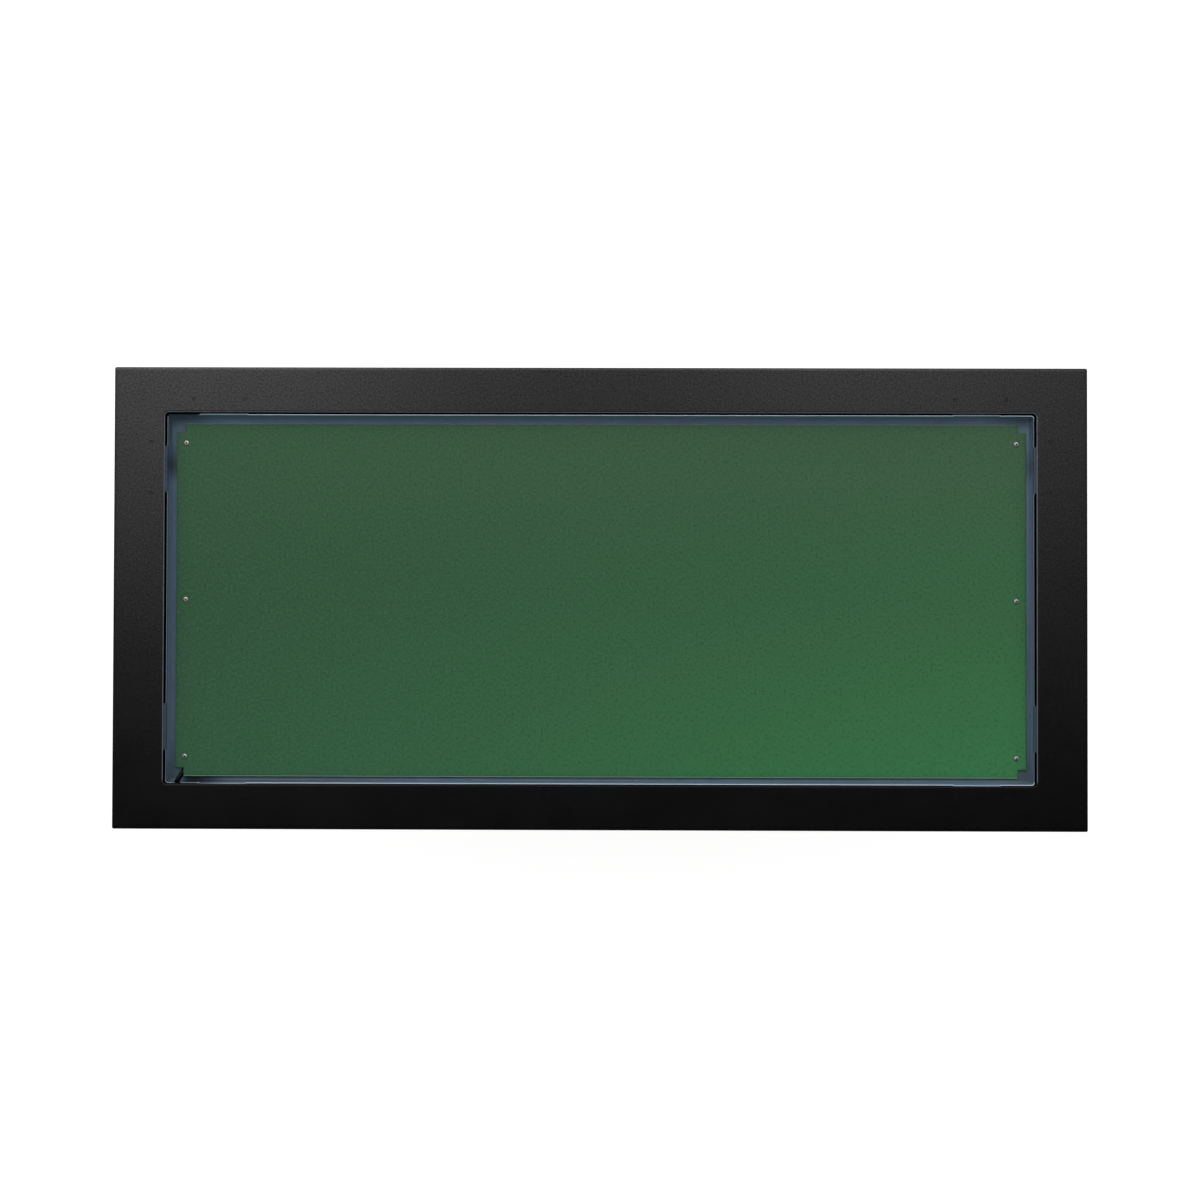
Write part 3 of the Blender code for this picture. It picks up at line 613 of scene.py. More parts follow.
def liner_sheet():
    """Blue-grey painted strip: rolling streaks, specks and dark patches by the end tabs, with painted light
    and shade: lighter at the right end, the back and the walls, darker at the front, shade at the top, past
    the joint and in the corners, a highlight below the long sides' lip and a shadow line under the back tabs.
    """
    s = Shader("liner_sheet")

    def patch(x, y, reach, depth):
        """A soft patch on the ledge, whose reach along each axis is in millimetres."""
        return s.times(s.spot((x, y, LEDGE_TOP), [length * MM for length in reach]), depth)

    streak = s.noise(6 * MM, 3, 0.6, s.stretched((0.2, 0.2, 1)))
    cloud = s.noise(40 * MM, 4)
    right_front = s.times(s.band("X", 0.60, 0.68), s.band("Y", 0.02, -0.08, 0.0, 0.6))
    # Where the painted highlight below the lip of the long sides goes.
    crest = s.band("Z", LINER_TOP - 2.4 * MM, LINER_TOP - 1.2 * MM)
    long_side = s.remap(s.math("ABSOLUTE", s.axis("Y")), WINDOW_Y - 9 * MM, WINDOW_Y - 7 * MM)
    # Painted shadow: the tabs are painted black where they go under the rim's back edge.
    gap = s.band("Y", WINDOW_Y - 2.8 * MM, WINDOW_Y - 2.0 * MM)
    base = s.layers(
        s.mix(cloud, (0.060, 0.100, 0.146), (0.078, 0.126, 0.180)),
        # Painted light and shade: lighter towards the right end, darker towards the front, greyer at the
        # right front, lighter along the back.
        (s.band("X", 0.58, 0.70, 0.0, 0.4), (0.120, 0.182, 0.245)),
        (s.band("Y", -0.20, -0.28, 0.0, 0.6), (0.040, 0.066, 0.094)),
        (right_front, (0.062, 0.086, 0.100)),
        (s.band("Y", 0.24, 0.27), (0.122, 0.196, 0.262)),
        # Painted light: the walls, which face sideways, are lighter than the ledge.
        (s.remap(s.facing_up(), 0.85, 0.15, 0.0, 0.9), (0.128, 0.206, 0.290)),
        (s.remap(streak, 0.35, 0.75, 0.0, 0.3), (0.100, 0.145, 0.196)),
        (s.remap(s.noise(2.5 * MM, 3), 0.55, 0.75, 0.0, 0.25), (0.046, 0.068, 0.092)),
        # Painted shade: darker towards the top of the wall and the tabs, under the rim.
        (s.band("Z", LINER_TOP - 6 * MM, LINER_TOP - 1 * MM, 0.0, 0.85), (0.022, 0.036, 0.052)),
        # Painted highlight: a light band just below the lip on the long sides.
        (s.times(crest, long_side), (0.24, 0.30, 0.36)),
        # The painted shadow line under the back edge of the rim.
        (gap, (0.001, 0.001, 0.001)),
    )
    # A near-black blue: for the dark patches by the end tabs and for the painted shade past the joint.
    dark_patch_and_shade = (0.006, 0.010, 0.015)
    # Dark patches on the ledge beside the end tabs.
    for side, depth in ((-1, 0.72), (1, 0.45)):
        tab_dark_patch = patch(side * (WINDOW_X - 9 * MM), SHORT_TAB_Y + 8 * MM, (26, 34, 60), depth)
        base = s.mix(tab_dark_patch, base, dark_patch_and_shade)
    # Painted shade: the front ledge just past the open joint is painted near black.
    by_seam = patch(-WINDOW_X + 46 * MM, -WINDOW_Y + 8 * MM, (76, 50, 90), 1.0)
    painted_shade_past_seam = s.times(by_seam, s.band("X", -WINDOW_X + 20 * MM, -WINDOW_X + 34 * MM))
    base = s.layers(
        base,
        # Painted shade along the left part of the front ledge.
        (patch(-0.56, -WINDOW_Y + 8 * MM, (330, 50, 90), 0.38), (0.030, 0.042, 0.050)),
        (s.times(painted_shade_past_seam, 0.97), dark_patch_and_shade),
    )
    # Painted shade: darker, greener patches in the four corners of the recess.
    for sx, sy, depth, inwards in ((-1, 1, 0.6, 28), (-1, -1, 0.25, 0), (1, 1, 0.35, 20), (1, -1, 0.3, 0)):
        x, y = sx * (WINDOW_X - inwards * MM), sy * (WINDOW_Y - inwards * MM)
        base = s.mix(patch(x, y, (68, 68, 80), depth), base, (0.014, 0.028, 0.028))
    s.set(Base_Color=base, Metallic=0.15, Roughness=s.spread(cloud, 0.42, 0.52))
    # The shine is turned down in the painted shadow line and in the painted shade past the joint.
    s.set(Specular_IOR_Level=s.remap(s.math("MAXIMUM", gap, painted_shade_past_seam), 0, 1, 0.32, 0.03, "LINEAR"))
    s.bump((s.noise(0.9 * MM, 2), 0.006 * MM), (s.noise(70 * MM, 2), 0.12 * MM))
    return s.material


def cut_edge_and_highlight():
    """The strip's sheared lip: lighter metal that doubles as a painted highlight, brighter at the back and
    brightest at the front, dimmer at the front left, and painted shade at the back-left corner.
    """
    s = Shader("liner_cut_edge_and_highlight")
    burr = s.noise(1.5 * MM, 3)
    back = s.band("Y", WINDOW_Y - 9 * MM, WINDOW_Y - 6 * MM)
    front = s.band("Y", -WINDOW_Y + 8 * MM, -WINDOW_Y + 4 * MM)
    left_corner = s.band("X", -LONG_TAB_X - 36 * MM, -LONG_TAB_X - 44 * MM)
    painted_shade_corner = s.times(back, left_corner)
    # The lighter metal is also a painted highlight. The back and front are brighter painted highlights, and
    # the back-left corner is painted near black as shade, with little shine.
    base = s.layers(
        s.mix(burr, (0.08, 0.105, 0.125), (0.15, 0.185, 0.215)),
        (back, (0.34, 0.42, 0.50)),
        (front, s.mix(left_corner, (0.50, 0.58, 0.66), (0.13, 0.16, 0.18))),
        (painted_shade_corner, (0.010, 0.016, 0.018)),
    )
    s.set(Base_Color=base, Metallic=0.3, Roughness=s.spread(burr, 0.34, 0.48))
    s.set(Specular_IOR_Level=s.remap(painted_shade_corner, 0, 1, 0.5, 0.05, "LINEAR"))
    s.bump((burr, 0.02 * MM))
    return s.material


def playing_cloth():
    """Short-napped green cloth: mixed fibres and a fine weave, with painted light and shade: tones that
    change from back to front and brighten to the right, painted shade down its turned sides and a painted
    highlight along its long edges.
    """
    s = Shader("playing_cloth")
    across = s.remap(s.axis("X"), BOARD_LOW.x, BOARD_HIGH.x, kind="LINEAR")
    depth = s.remap(s.axis("Y"), BOARD_HIGH.y, BOARD_LOW.y, kind="LINEAR")
    # Painted light and shade: back, middle and front tones, each brightening to the right.
    back = s.mix(across, (0.0413, 0.092, 0.050), (0.050, 0.1018, 0.0557))
    middle = s.mix(across, (0.0308, 0.0784, 0.0416), (0.0375, 0.120, 0.0512))
    front = s.mix(across, (0.0296, 0.087, 0.0452), (0.0355, 0.176, 0.061))
    # The colour of the painted highlight on the long edges, brighter towards the front.
    pale = s.mix(depth, (0.110, 0.165, 0.165), (0.270, 0.380, 0.330))
    fibre = s.noise(4.4 * MM, 2, 0.7)
    fine = s.noise(2.0 * MM, 2, 0.7)
    half = (CLOTH_HIGH.y - CLOTH_LOW.y) / 2
    off_middle = s.math("ABSOLUTE", s.math("SUBTRACT", s.axis("Y"), (CLOTH_LOW.y + CLOTH_HIGH.y) / 2))
    base = s.layers(
        back,
        (s.remap(depth, 0.0, 0.5), middle),
        (s.remap(depth, 0.5, 1.0, kind="LINEAR"), front),
        (s.remap(s.noise(12 * MM, 3, 0.6), 0.35, 0.7, 0.0, 0.20), (0.028, 0.107, 0.041)),
        (s.remap(fibre, 0.50, 0.72, 0.0, 0.60), (0.041, 0.140, 0.058)),
        (s.remap(fibre, 0.50, 0.30, 0.0, 0.55), (0.026, 0.048, 0.034)),
        (s.remap(fine, 0.45, 0.70, 0.0, 0.38), (0.051, 0.125, 0.066)),
        # Painted shade down the cloth's turned sides.
        (s.remap(s.facing_up(), 0.93, 0.6, 0.0, 0.85), (0.018, 0.052, 0.027)),
        # The painted highlight along the back and front edges.
        (s.remap(off_middle, half - 1.6 * MM, half - 1.0 * MM, 0.0, 0.9), pale),
    )
    s.set(Base_Color=base, Roughness=0.95, Specular_IOR_Level=0.1, Sheen_Weight=0.08, Sheen_Roughness=0.5)
    thread = s.times(s.waves(1.1 * MM, "X", 0.6), s.waves(1.1 * MM, "Y", 0.6))
    s.bump((thread, 0.05 * MM), (fine, 0.12 * MM), (fibre, 0.20 * MM))
    return s.material


def fibreboard():
    """Brown pressed fibre, with chips and paler flecks."""
    s = Shader("fibreboard")
    chips = s.cells(3.5 * MM)
    cloud = s.noise(50 * MM, 5)
    base = s.layers(
        s.mix(cloud, (0.22, 0.135, 0.075), (0.36, 0.235, 0.135)),
        (s.remap(chips, 0.1, 0.8, 0.0, 0.5), (0.15, 0.09, 0.05)),
        (s.remap(s.noise(1.4 * MM, 3), 0.6, 0.8, 0.0, 0.5), (0.50, 0.36, 0.23)),
    )
    s.set(Base_Color=base, Roughness=s.spread(cloud, 0.75, 0.92))
    s.bump((chips, 0.08 * MM), (s.noise(0.8 * MM, 2), 0.05 * MM))
    return s.material


def zinc(name, tint=(0.60, 0.60, 0.58), low=0.25, high=0.42, recess=None):
    """Bright zinc plate: a slight yellow bloom and darker patches along its edges and creases. A recess is
    (radius, floor, brim), painted near black as shade.
    """
    s = Shader(name)
    cloud = s.noise(4 * MM, 4)
    bloom = tuple(channel * factor for channel, factor in zip(tint, (0.92, 0.86, 0.66)))
    base = s.layers(
        tint,
        (s.remap(cloud, 0.45, 0.8, 0.0, 0.6), bloom),
        (s.wear(0.5 * MM, 0.5), (0.20, 0.19, 0.18)),
    )
    if recess:
        radius, floor, brim = recess
        inside = s.remap(s.length(s.stretched((1, 1, 0))), radius * 1.05, radius * 0.9)
        # Painted shade: the recess is painted near black.
        base = s.mix(s.times(inside, s.band("Z", brim, floor)), base, (0.02, 0.02, 0.02))
    s.set(Base_Color=base, Metallic=1.0, Roughness=s.remap(cloud, 0.3, 0.7, low, high))
    s.bump((s.noise(0.35 * MM, 2), 0.006 * MM))
    return s.material


def rubber():
    """Moulded rubber: dusty, matte, scuffed where it turns."""
    s = Shader("black_rubber")
    dust = s.noise(12 * MM, 5)
    base = s.mix(dust, (0.013, 0.013, 0.014), (0.030, 0.029, 0.028))
    base = s.mix(s.wear(amount=0.5), base, (0.07, 0.068, 0.065))
    s.set(Base_Color=base, Roughness=s.spread(dust, 0.7, 0.88), Specular_IOR_Level=0.3)
    s.bump((s.noise(0.6 * MM, 3), 0.03 * MM), (s.noise(4 * MM, 2), 0.05 * MM))
    return s.material


def plastic():
    """Moulded black plastic with a fine spark-eroded grain, polished on its high spots."""
    s = Shader("black_plastic")
    cloud = s.noise(15 * MM, 3)
    rough = s.math("SUBTRACT", s.spread(cloud, 0.40, 0.52), s.wear(1.5 * MM, 0.14))
    s.set(Base_Color=s.mix(cloud, (0.016, 0.016, 0.018), (0.028, 0.028, 0.031)), Roughness=rough)
    s.bump((s.cells(0.5 * MM), 0.02 * MM))
    return s.material


def black_shade_sheet():
    """Near black, finely pitted and without shine: the sheet of painted shade under the open joint."""
    s = Shader("painted_seam_shade")
    cell = s.cells(0.6 * MM)
    s.set(Base_Color=s.mix(cell, (0.0015, 0.0015, 0.0018), (0.004, 0.004, 0.004)))
    s.set(Roughness=0.95, Specular_IOR_Level=0.02)
    s.bump((cell, 0.05 * MM))
    return s.material


def rib_metal():
    """The joint's rib: dull blue-grey steel with darker grease along it."""
    s = Shader("joint_rib_metal")
    grease = s.noise(5 * MM, 3)
    s.set(Base_Color=s.mix(grease, (0.020, 0.030, 0.040), (0.050, 0.066, 0.080)))
    s.set(Metallic=0.2, Roughness=s.spread(grease, 0.42, 0.6), Specular_IOR_Level=0.25)
    s.bump((s.noise(1.1 * MM, 2), 0.02 * MM))
    return s.material


def weld_metal():
    """A weld bead under black paint."""
    s = Shader("painted_weld")
    lumps = s.noise(1.2 * MM, 3)
    s.set(Base_Color=s.mix(lumps, (0.012, 0.012, 0.012), (0.032, 0.031, 0.031)))
    s.set(Roughness=s.spread(lumps, 0.32, 0.5))
    s.bump((lumps, 0.08 * MM))
    return s.material


def build_materials():
    """Every material, under the short name that the pieces use."""
    return {
        "rim": powder_coat("rim_powder_coat"),
        "rim_mark": powder_coat("rim_mark_coat", 0.0012, 0.0020, 0.28),
        "window_edge": window_edge_painted_highlight(),
        "frame": powder_coat("frame_powder_coat", 0.004, 0.008, 0.30, 0.6),
        "liner": liner_sheet(),
        "edge": cut_edge_and_highlight(),
        "cloth": playing_cloth(),
        "board": fibreboard(),
        "screw": zinc("screw_zinc", (0.42, 0.42, 0.42), 0.34, 0.48, SCREW_RECESS),
        "pad_screw": zinc("pad_screw_zinc", (0.42, 0.42, 0.42)),
        "zinc": zinc("bolt_zinc"),
        "rubber": rubber(),
        "plastic": plastic(),
        "weld": weld_metal(),
        "black_shade_sheet": black_shade_sheet(),
        "rib": rib_metal(),
    }


# ---------------------------------------------------------------- the top


def round_stops(stop, *bend):
    """A rounded stretch of a section: a stop at each point of an arc, given by its centre and the rest."""
    return [stop(u, w) for u, w in arc(*bend)]


def rim_stop(inset, z):
    """A stop on the rim's section, measured in from the table's outside."""
    return (HALF_LENGTH - inset, HALF_DEPTH - inset, max(RIM_CORNER - inset, LEAST_CORNER), z)


def window_stop(outset, z):
    """A stop on the rim's section, measured out from the window's edge."""
    return (WINDOW_X + outset, WINDOW_Y + outset, WINDOW_CORNER + outset, z)


def rim_mesh():
    """One pressed sheet: rolled window edge, flat, rounded shoulder, skirt and a lip turned in."""
    foot, tight = RIM_LOW.z, RIM_BEND - RIM_SHEET + 0.2 * MM
    lip, lip_end = RIM_SHEET / 2, SKIRT_LIP - RIM_SHEET / 2
    within = RIM_SHEET + tight
    section = [
        *round_stops(window_stop, (WINDOW_EDGE, TOP - WINDOW_EDGE), WINDOW_EDGE, 180, 90, EDGE_STEPS),
        window_stop(EDGE_FLAT, TOP),
        rim_stop(RIM_BEND + BESIDE_BEND, TOP),
        *round_stops(rim_stop, (RIM_BEND, TOP - RIM_BEND), RIM_BEND, 90, 180, 6),
        rim_stop(0, TOP - RIM_BEND - BESIDE_BEND),
        rim_stop(0, foot + RIM_BEND + BESIDE_BEND),
        *round_stops(rim_stop, (RIM_BEND, foot + RIM_BEND), RIM_BEND, 180, 270, 6),
        *round_stops(rim_stop, (lip_end, foot + lip), lip, -90, 90, 4),
        *round_stops(rim_stop, (within, foot + within), tight, 270, 180, 3),
        *round_stops(rim_stop, (within, TOP - within), tight, 180, 90, 3),
        window_stop(0.4 * MM, TOP - RIM_SHEET),
        window_stop(0, TOP - RIM_SHEET + 0.4 * MM),
    ]
    # The window edge's faces take the second material, with its painted highlight.
    window_stops = {len(section) - 1, *range(EDGE_STEPS)}
    return frame_loft(section, 8, (12, 6), window_stops)


def tab_places():
    """(turn about Z, distance along the side, window edge, slot) of each tab: back, left, front, right."""
    sides = (
        (WINDOW_Y, BACK_SLOT, LONG_TAB_X),
        (WINDOW_X, END_SLOT, SHORT_TAB_Y),
        (WINDOW_Y, FRONT_SLOT, LONG_TAB_X),
        (WINDOW_X, END_SLOT, SHORT_TAB_Y),
    )
    return [
        (quarter * math.pi / 2, sign * along, edge, slot)
        for quarter, (edge, slot, along) in enumerate(sides)
        for sign in (-1, 1)
    ]


def weld_marks_mesh():
    """Faint rings where each tab is spot-welded under the rim, two to a tab."""
    profile = (
        (0, -0.10), (1, -0.10), (1, 0), (0.86, 0.09), (0.66, 0.12), (0.5, 0.05), (0.2, 0.03), (0, 0.035),
    )
    mark = turned([(share * WELD_RADIUS, height * MM) for share, height in profile], 28)
    rng = random.Random(7)
    marks = []
    for turn, along, edge, _ in tab_places():
        outwards = LONG_SIDE_DRIFT if abs(along) == LONG_TAB_X else SHORT_SIDE_DRIFT
        drift = math.copysign(outwards, along) + rng.uniform(-2, 2) * MM
        for side in (-1, 1):
            spot = (along + drift + side * WELD_PITCH / 2, edge + WELD_FROM_WINDOW, TOP)
            marks.append(moved(mark, Matrix.Rotation(turn, 4, "Z") @ Matrix.Translation(spot)))
    return gathered(marks)


def liner_stop(inset, z):
    """A stop on the liner's section, measured in from its wall's outside."""
    half_y = WINDOW_Y - (FRONT_SLOT + BACK_SLOT) / 2
    return (WINDOW_X - END_SLOT - inset, half_y - inset, max(LINER_CORNER - inset, LEAST_CORNER), z)


def liner_ring_mesh():
    """The strip's wall and ledge with a rounded bend between them and a rounded lip."""
    t, bend, lip = LINER_SHEET, LINER_BEND, LIP_ROUND
    under, tight = LEDGE_TOP - t, bend - t
    sheet = [
        *round_stops(liner_stop, (bend, under + bend), bend, 180, 270, 5),
        *round_stops(liner_stop, (LEDGE_WIDTH - t / 2, under + t / 2), t / 2, -90, 90, 4),
        liner_stop(t + tight + 2 * MM, LEDGE_TOP),
        *round_stops(liner_stop, (t + tight, LEDGE_TOP + tight), tight, 270, 180, 4),
        liner_stop(t, LINER_TOP - 2 * lip),
    ]
    # The lip takes the second material: the lighter cut edge with its painted highlight.
    cut_edge_stops = [
        *round_stops(liner_stop, (t - lip, LINER_TOP - lip), lip, 0, 90, 3),
        *round_stops(liner_stop, (lip, LINER_TOP - lip), lip, 90, 180, 3),
    ]
    section = sheet + cut_edge_stops
    edge_stops = range(len(sheet), len(section) - 1)
    ring = frame_loft(section, 6, (1, 1), set(edge_stops))
    return shifted(ring, y=(FRONT_SLOT - BACK_SLOT) / 2)


def tab_half_width(u, slot):
    """Half the tab's width at u outwards from the window's edge: flared where it leaves the wall."""
    into = min(TAB_FILLET - (u + slot), TAB_FILLET)
    if u > 0 or into <= 0:
        return TAB_WEB / 2
    return TAB_WEB / 2 + TAB_FILLET - math.sqrt(TAB_FILLET ** 2 - into ** 2)


def tab_mesh(edge, slot):
    """One tab, pointing to +Y: it leaves the wall's inner face in a soft bend and runs out under the rim."""
    t, top, ease = LINER_SHEET, LINER_TOP, 0.02 * MM
    face = -slot - t
    root = top - TAB_BEND - 6 * MM
    centre = (face + TAB_BEND, top - TAB_BEND)
    upper_bend, lower_bend = [arc(centre, radius, 180, 90, TAB_STEPS) for radius in (TAB_BEND, TAB_BEND - t)]
    upper_side = [(face + ease, root), *upper_bend, (0.2 * MM, top)]
    lower_side = [(face + t - ease, root), *lower_bend, (0.2 * MM, top - t)]
    stops = [(tab_half_width(upper[0], slot), upper, lower) for upper, lower in zip(upper_side, lower_side)]
    stops += [(TAB_FLANGE / 2, (u, top), (u, top - t)) for u in (0.6 * MM, TAB_REACH)]
    return loft([
        [(x, edge + u, z) for x, (u, z) in ((-half, upper), (half, upper), (half, lower), (-half, lower))]
        for half, upper, lower in stops
    ])


def seam_frame():
    """The open joint's line: the origin on the front wall, local +X along the joint."""
    foot = (-WINDOW_X + SEAM_FROM_WINDOW, -WINDOW_Y + FRONT_SLOT, 0)
    return Matrix.Translation(foot) @ Matrix.Rotation(SEAM_ANGLE, 4, "Z")


def seam_lean():
    """Moves the joint along +X as it climbs the wall, by SEAM_LEAN times the height above the ledge."""
    lean = Matrix.Identity(4)
    lean[0][2] = SEAM_LEAN
    lean[0][3] = -SEAM_LEAN * LEDGE_TOP
    return lean


def liner_mesh():
    """The folded strip with its eight tabs, relief cuts behind them and the open joint."""
    ring = liner_ring_mesh()
    relief = []
    tabs = []
    for turn, along, edge, slot in tab_places():
        place = Matrix.Rotation(turn, 4, "Z") @ Matrix.Translation((along, 0, 0))
        half = TAB_WEB / 2
        blank = slab((-half, half), (edge - slot - 4 * MM, edge), (LINER_TOP - TAB_BEND, TOP))
        relief.append(moved(blank, place))
        tabs.append(moved(tab_mesh(edge, slot), place))
    ring = joined(cut(ring, *relief), gathered(tabs))
    reach = LEDGE_WIDTH + LINER_CORNER
    half = SEAM_WIDTH / 2
    gap = slab((-LINER_CORNER, 2 * reach), (-half, half), (LEDGE_TOP - 2 * LINER_SHEET, TOP))
    # The joint's cut faces take the second material too: the lighter cut edge with its painted highlight.
    gap.polygons.foreach_set("material_index", [1] * len(gap.polygons))
    return cut(ring, moved(gap, seam_lean() @ seam_frame()))


def seam_rib_mesh():
    """The narrow rib that runs down the open joint, standing on the black sheet of painted shade."""
    low = LEDGE_TOP - LINER_SHEET
    blank = slab((RIB_START, LEDGE_WIDTH - RIB_STOP), RIB_SPAN, (low, low + MM))
    return moved(bevelled(blank, 0.3 * MM), seam_frame())


def seam_shade_sheet_mesh():
    """A thin black sheet on the angle frame's flange: painted shade, seen only through the open joint."""
    low = LEDGE_TOP - LINER_SHEET - SHADE_SHEET - 0.02 * MM
    blank = slab((-SHADE_SHEET_OVERLAP, LEDGE_WIDTH), (-SHADE_SHEET_HALF, SHADE_SHEET_HALF), (low, low + SHADE_SHEET))
    return moved(blank, seam_frame())


def board_outline(inset):
    """The board's plan with a square notch out of each corner, drawn in from the cloth's outside."""
    x0, x1 = CLOTH_LOW.x + inset, CLOTH_HIGH.x - inset
    y0, y1 = CLOTH_LOW.y + inset, CLOTH_HIGH.y - inset
    n = BOARD_NOTCH
    return [
        (x1, y1 - n), (x1 - n, y1 - n), (x1 - n, y1), (x0 + n, y1), (x0 + n, y1 - n), (x0, y1 - n),
        (x0, y0 + n), (x0 + n, y0 + n), (x0 + n, y0), (x1 - n, y0), (x1 - n, y0 + n), (x1, y0 + n),
    ]


def screw_boxes():
    return [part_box(f"board_screw_{number}") for number in range(1, 7)]


def cut_along(bm, axis, low, high, step):
    """Slices a bmesh across an axis at even steps."""
    count = math.floor((high - low) / step)
    normal = Vector([float(axis == a) for a in range(3)])
    for i in range(1, count):
        point = normal * (low + (high - low) * i / count)
        bmesh.ops.bisect_plane(
            bm, geom=list(bm.verts) + list(bm.edges) + list(bm.faces), plane_co=point, plane_no=normal
        )


def cloth_mesh():
    """The cloth over the board and down its edges, dimpled round the screws and very slightly uneven."""
    blank = bevelled(prism(board_outline(0), "Z", CLOTH_LOW.z, CLOTH_HIGH.z), CLOTH_EDGE, 3, 60)
    hollow = prism(board_outline(CLOTH_SHEET), "Z", CLOTH_LOW.z - MM, CLOTH_HIGH.z - CLOTH_SHEET)
    cup = cut(blank, hollow)
    bm = bmesh.new()
    bm.from_mesh(cup)
    cut_along(bm, 0, CLOTH_LOW.x, CLOTH_HIGH.x, CLOTH_CELL)
    cut_along(bm, 1, CLOTH_LOW.y, CLOTH_HIGH.y, CLOTH_CELL)
    screws = [(low + high) / 2 for low, high in screw_boxes()]
    for vert in bm.verts:
        if vert.co.z < CLOTH_HIGH.z - CLOTH_SHEET - 0.1 * MM:
            continue
        wave = noise.noise(Vector((vert.co.x * WAVES_PER_M, vert.co.y * WAVES_PER_M, 3.1)))
        fine = noise.noise(Vector((vert.co.x * RIPPLES_PER_M, vert.co.y * RIPPLES_PER_M, 8.7)))
        vert.co.z -= CLOTH_WAVE * (1 + wave) + CLOTH_RIPPLE * (1 + fine)
        for screw in screws:
            apart = math.hypot(vert.co.x - screw.x, vert.co.y - screw.y)
            if apart < DIMPLE_REACH:
                vert.co.z -= DIMPLE_DEPTH * math.exp(-(apart / DIMPLE_WIDTH) ** 2)
    return mesh_from(bm)


def cross_recess(depth, span, width):
    """A cross-shaped cutter that tapers to its foot, opening upwards at z = 0."""
    arms = []
    for turn in (0, math.pi / 2):
        top = [(-span, -width), (span, -width), (span, width), (-span, width)]
        rings = [[(x, y, 0.5 * MM) for x, y in top]]
        rings.append([(x * 0.42, y * 0.7, -depth) for x, y in top])
        arms.append(moved(loft(rings), Matrix.Rotation(turn, 4, "Z")))
    return joined(*arms)


def screw_mesh():
    """A pan-head cross-recess screw whose head stands on z = 0, with a threaded shank below."""
    radius, tall, crown = SCREW_HEAD, SCREW_HEAD_HEIGHT, 0.55 * SCREW_HEAD_HEIGHT
    profile = [(0, -SCREW_LENGTH), (0.5 * SCREW_SHANK, -SCREW_LENGTH)]
    turns = 12
    for i in range(turns):
        z = -SCREW_LENGTH + 0.8 * MM + i * (SCREW_LENGTH - 1.2 * MM) / turns
        profile += [(SCREW_SHANK * 0.82, z), (SCREW_SHANK, z + 0.35 * MM)]
    profile += [(SCREW_SHANK * 0.9, 0), (radius - 0.15 * MM, 0), (radius, 0.2 * MM), (radius, 0.45 * tall)]
    for turn in [math.pi / 2 * i / 6 for i in range(1, 6)]:
        profile.append((radius * (0.55 + 0.45 * math.cos(turn)), tall - crown + crown * math.sin(turn)))
    profile += [(0.3 * radius, tall), (0, tall)]
    head = turned(profile, 32)
    recess = cross_recess(RECESS_DEPTH, RECESS_SPAN, 0.62 * MM)
    return cut(head, shifted(recess, z=SCREW_HEAD_HEIGHT))


def build_top(m):
    piece("rim", rim_mesh(), [m["rim"], m["window_edge"]], BLACK, TABLE, ["rim_frame"])
    piece("rim_weld_marks", weld_marks_mesh(), m["rim_mark"], BLACK, TABLE)
    piece("liner", liner_mesh(), [m["liner"], m["edge"]], GREY_BLUE, TABLE, ["liner_ring"])
    piece("joint_rib", seam_rib_mesh(), m["rib"], GREY_BLUE, TABLE)
    # A black sheet of painted shade, seen through the open joint.
    piece("seam_shade_sheet", seam_shade_sheet_mesh(), m["black_shade_sheet"], RUBBER, TABLE)
    piece("cloth", cloth_mesh(), m["cloth"], GREEN, TABLE, ["felt_cover"])
    frame["nodes"]["play_board"].material_slots[0].material = m["board"]
    screw = screw_mesh()
    rng = random.Random(11)
    for number, (low, high) in enumerate(screw_boxes(), start=1):
        seat = Vector(((low.x + high.x) / 2, (low.y + high.y) / 2, high.z - SCREW_HEAD_HEIGHT))
        place = Matrix.Translation(seat) @ Matrix.Rotation(rng.uniform(0, math.pi / 2), 4, "Z")
        piece(f"screw_{number}", screw, m["screw"], ZINC, TABLE, [f"board_screw_{number}"], place)


# ---------------------------------------------------------------- rails and pads

END_RAILS = ("end_rail_left", "end_rail_right")
SUPPORT_RAILS = ("support_rail_left", "support_rail_centre", "support_rail_right")
RAILS = END_RAILS + SUPPORT_RAILS


def ledge_frame_mesh():
    """Angle section round the liner: an upright outside its wall and a flange under its ledge."""
    low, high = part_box("ledge_frame")
    sheet, flange = ANGLE_SHEET, ANGLE_SHEET + ANGLE_FLANGE
    bend, tight = ANGLE_BEND, ANGLE_BEND - ANGLE_SHEET

    def stop(inset, z):
        return (high.x - inset, high.y - inset, max(WINDOW_CORNER + sheet - inset, LEAST_CORNER), z)

    section = [
        stop(sheet * 0.8, high.z),
        stop(sheet * 0.2, high.z),
        stop(0, high.z - 0.3 * MM),
        *round_stops(stop, (bend, low.z + bend), bend, 180, 270, 4),
        stop(flange, low.z),
        stop(flange, low.z + sheet),
        *round_stops(stop, (bend, low.z + bend), tight, 270, 180, 3),
        stop(sheet, high.z - 0.3 * MM),
    ]
    return frame_loft(section, 4)


def rail_weld_mesh(name):
    """Short beads at a rail's two ends, along its lower corners against the skirt."""
    low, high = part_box(name)
    middle = (low.x + high.x) / 2
    beads = []
    for end in (low.y, high.y):
        for x in (low.x, high.x):
            points = line_points((x - middle, end, low.z + 1 * MM), (x - middle, end, high.z - 1 * MM))
            beads.append(weld_bead(points, RAIL_BEAD, int(abs(x) * 1000)))
        points = line_points((low.x - middle + 2 * MM, end, low.z), (high.x - middle - 2 * MM, end, low.z))
        beads.append(weld_bead(points, RAIL_BEAD, int(abs(end) * 900)))
    return gathered(beads)


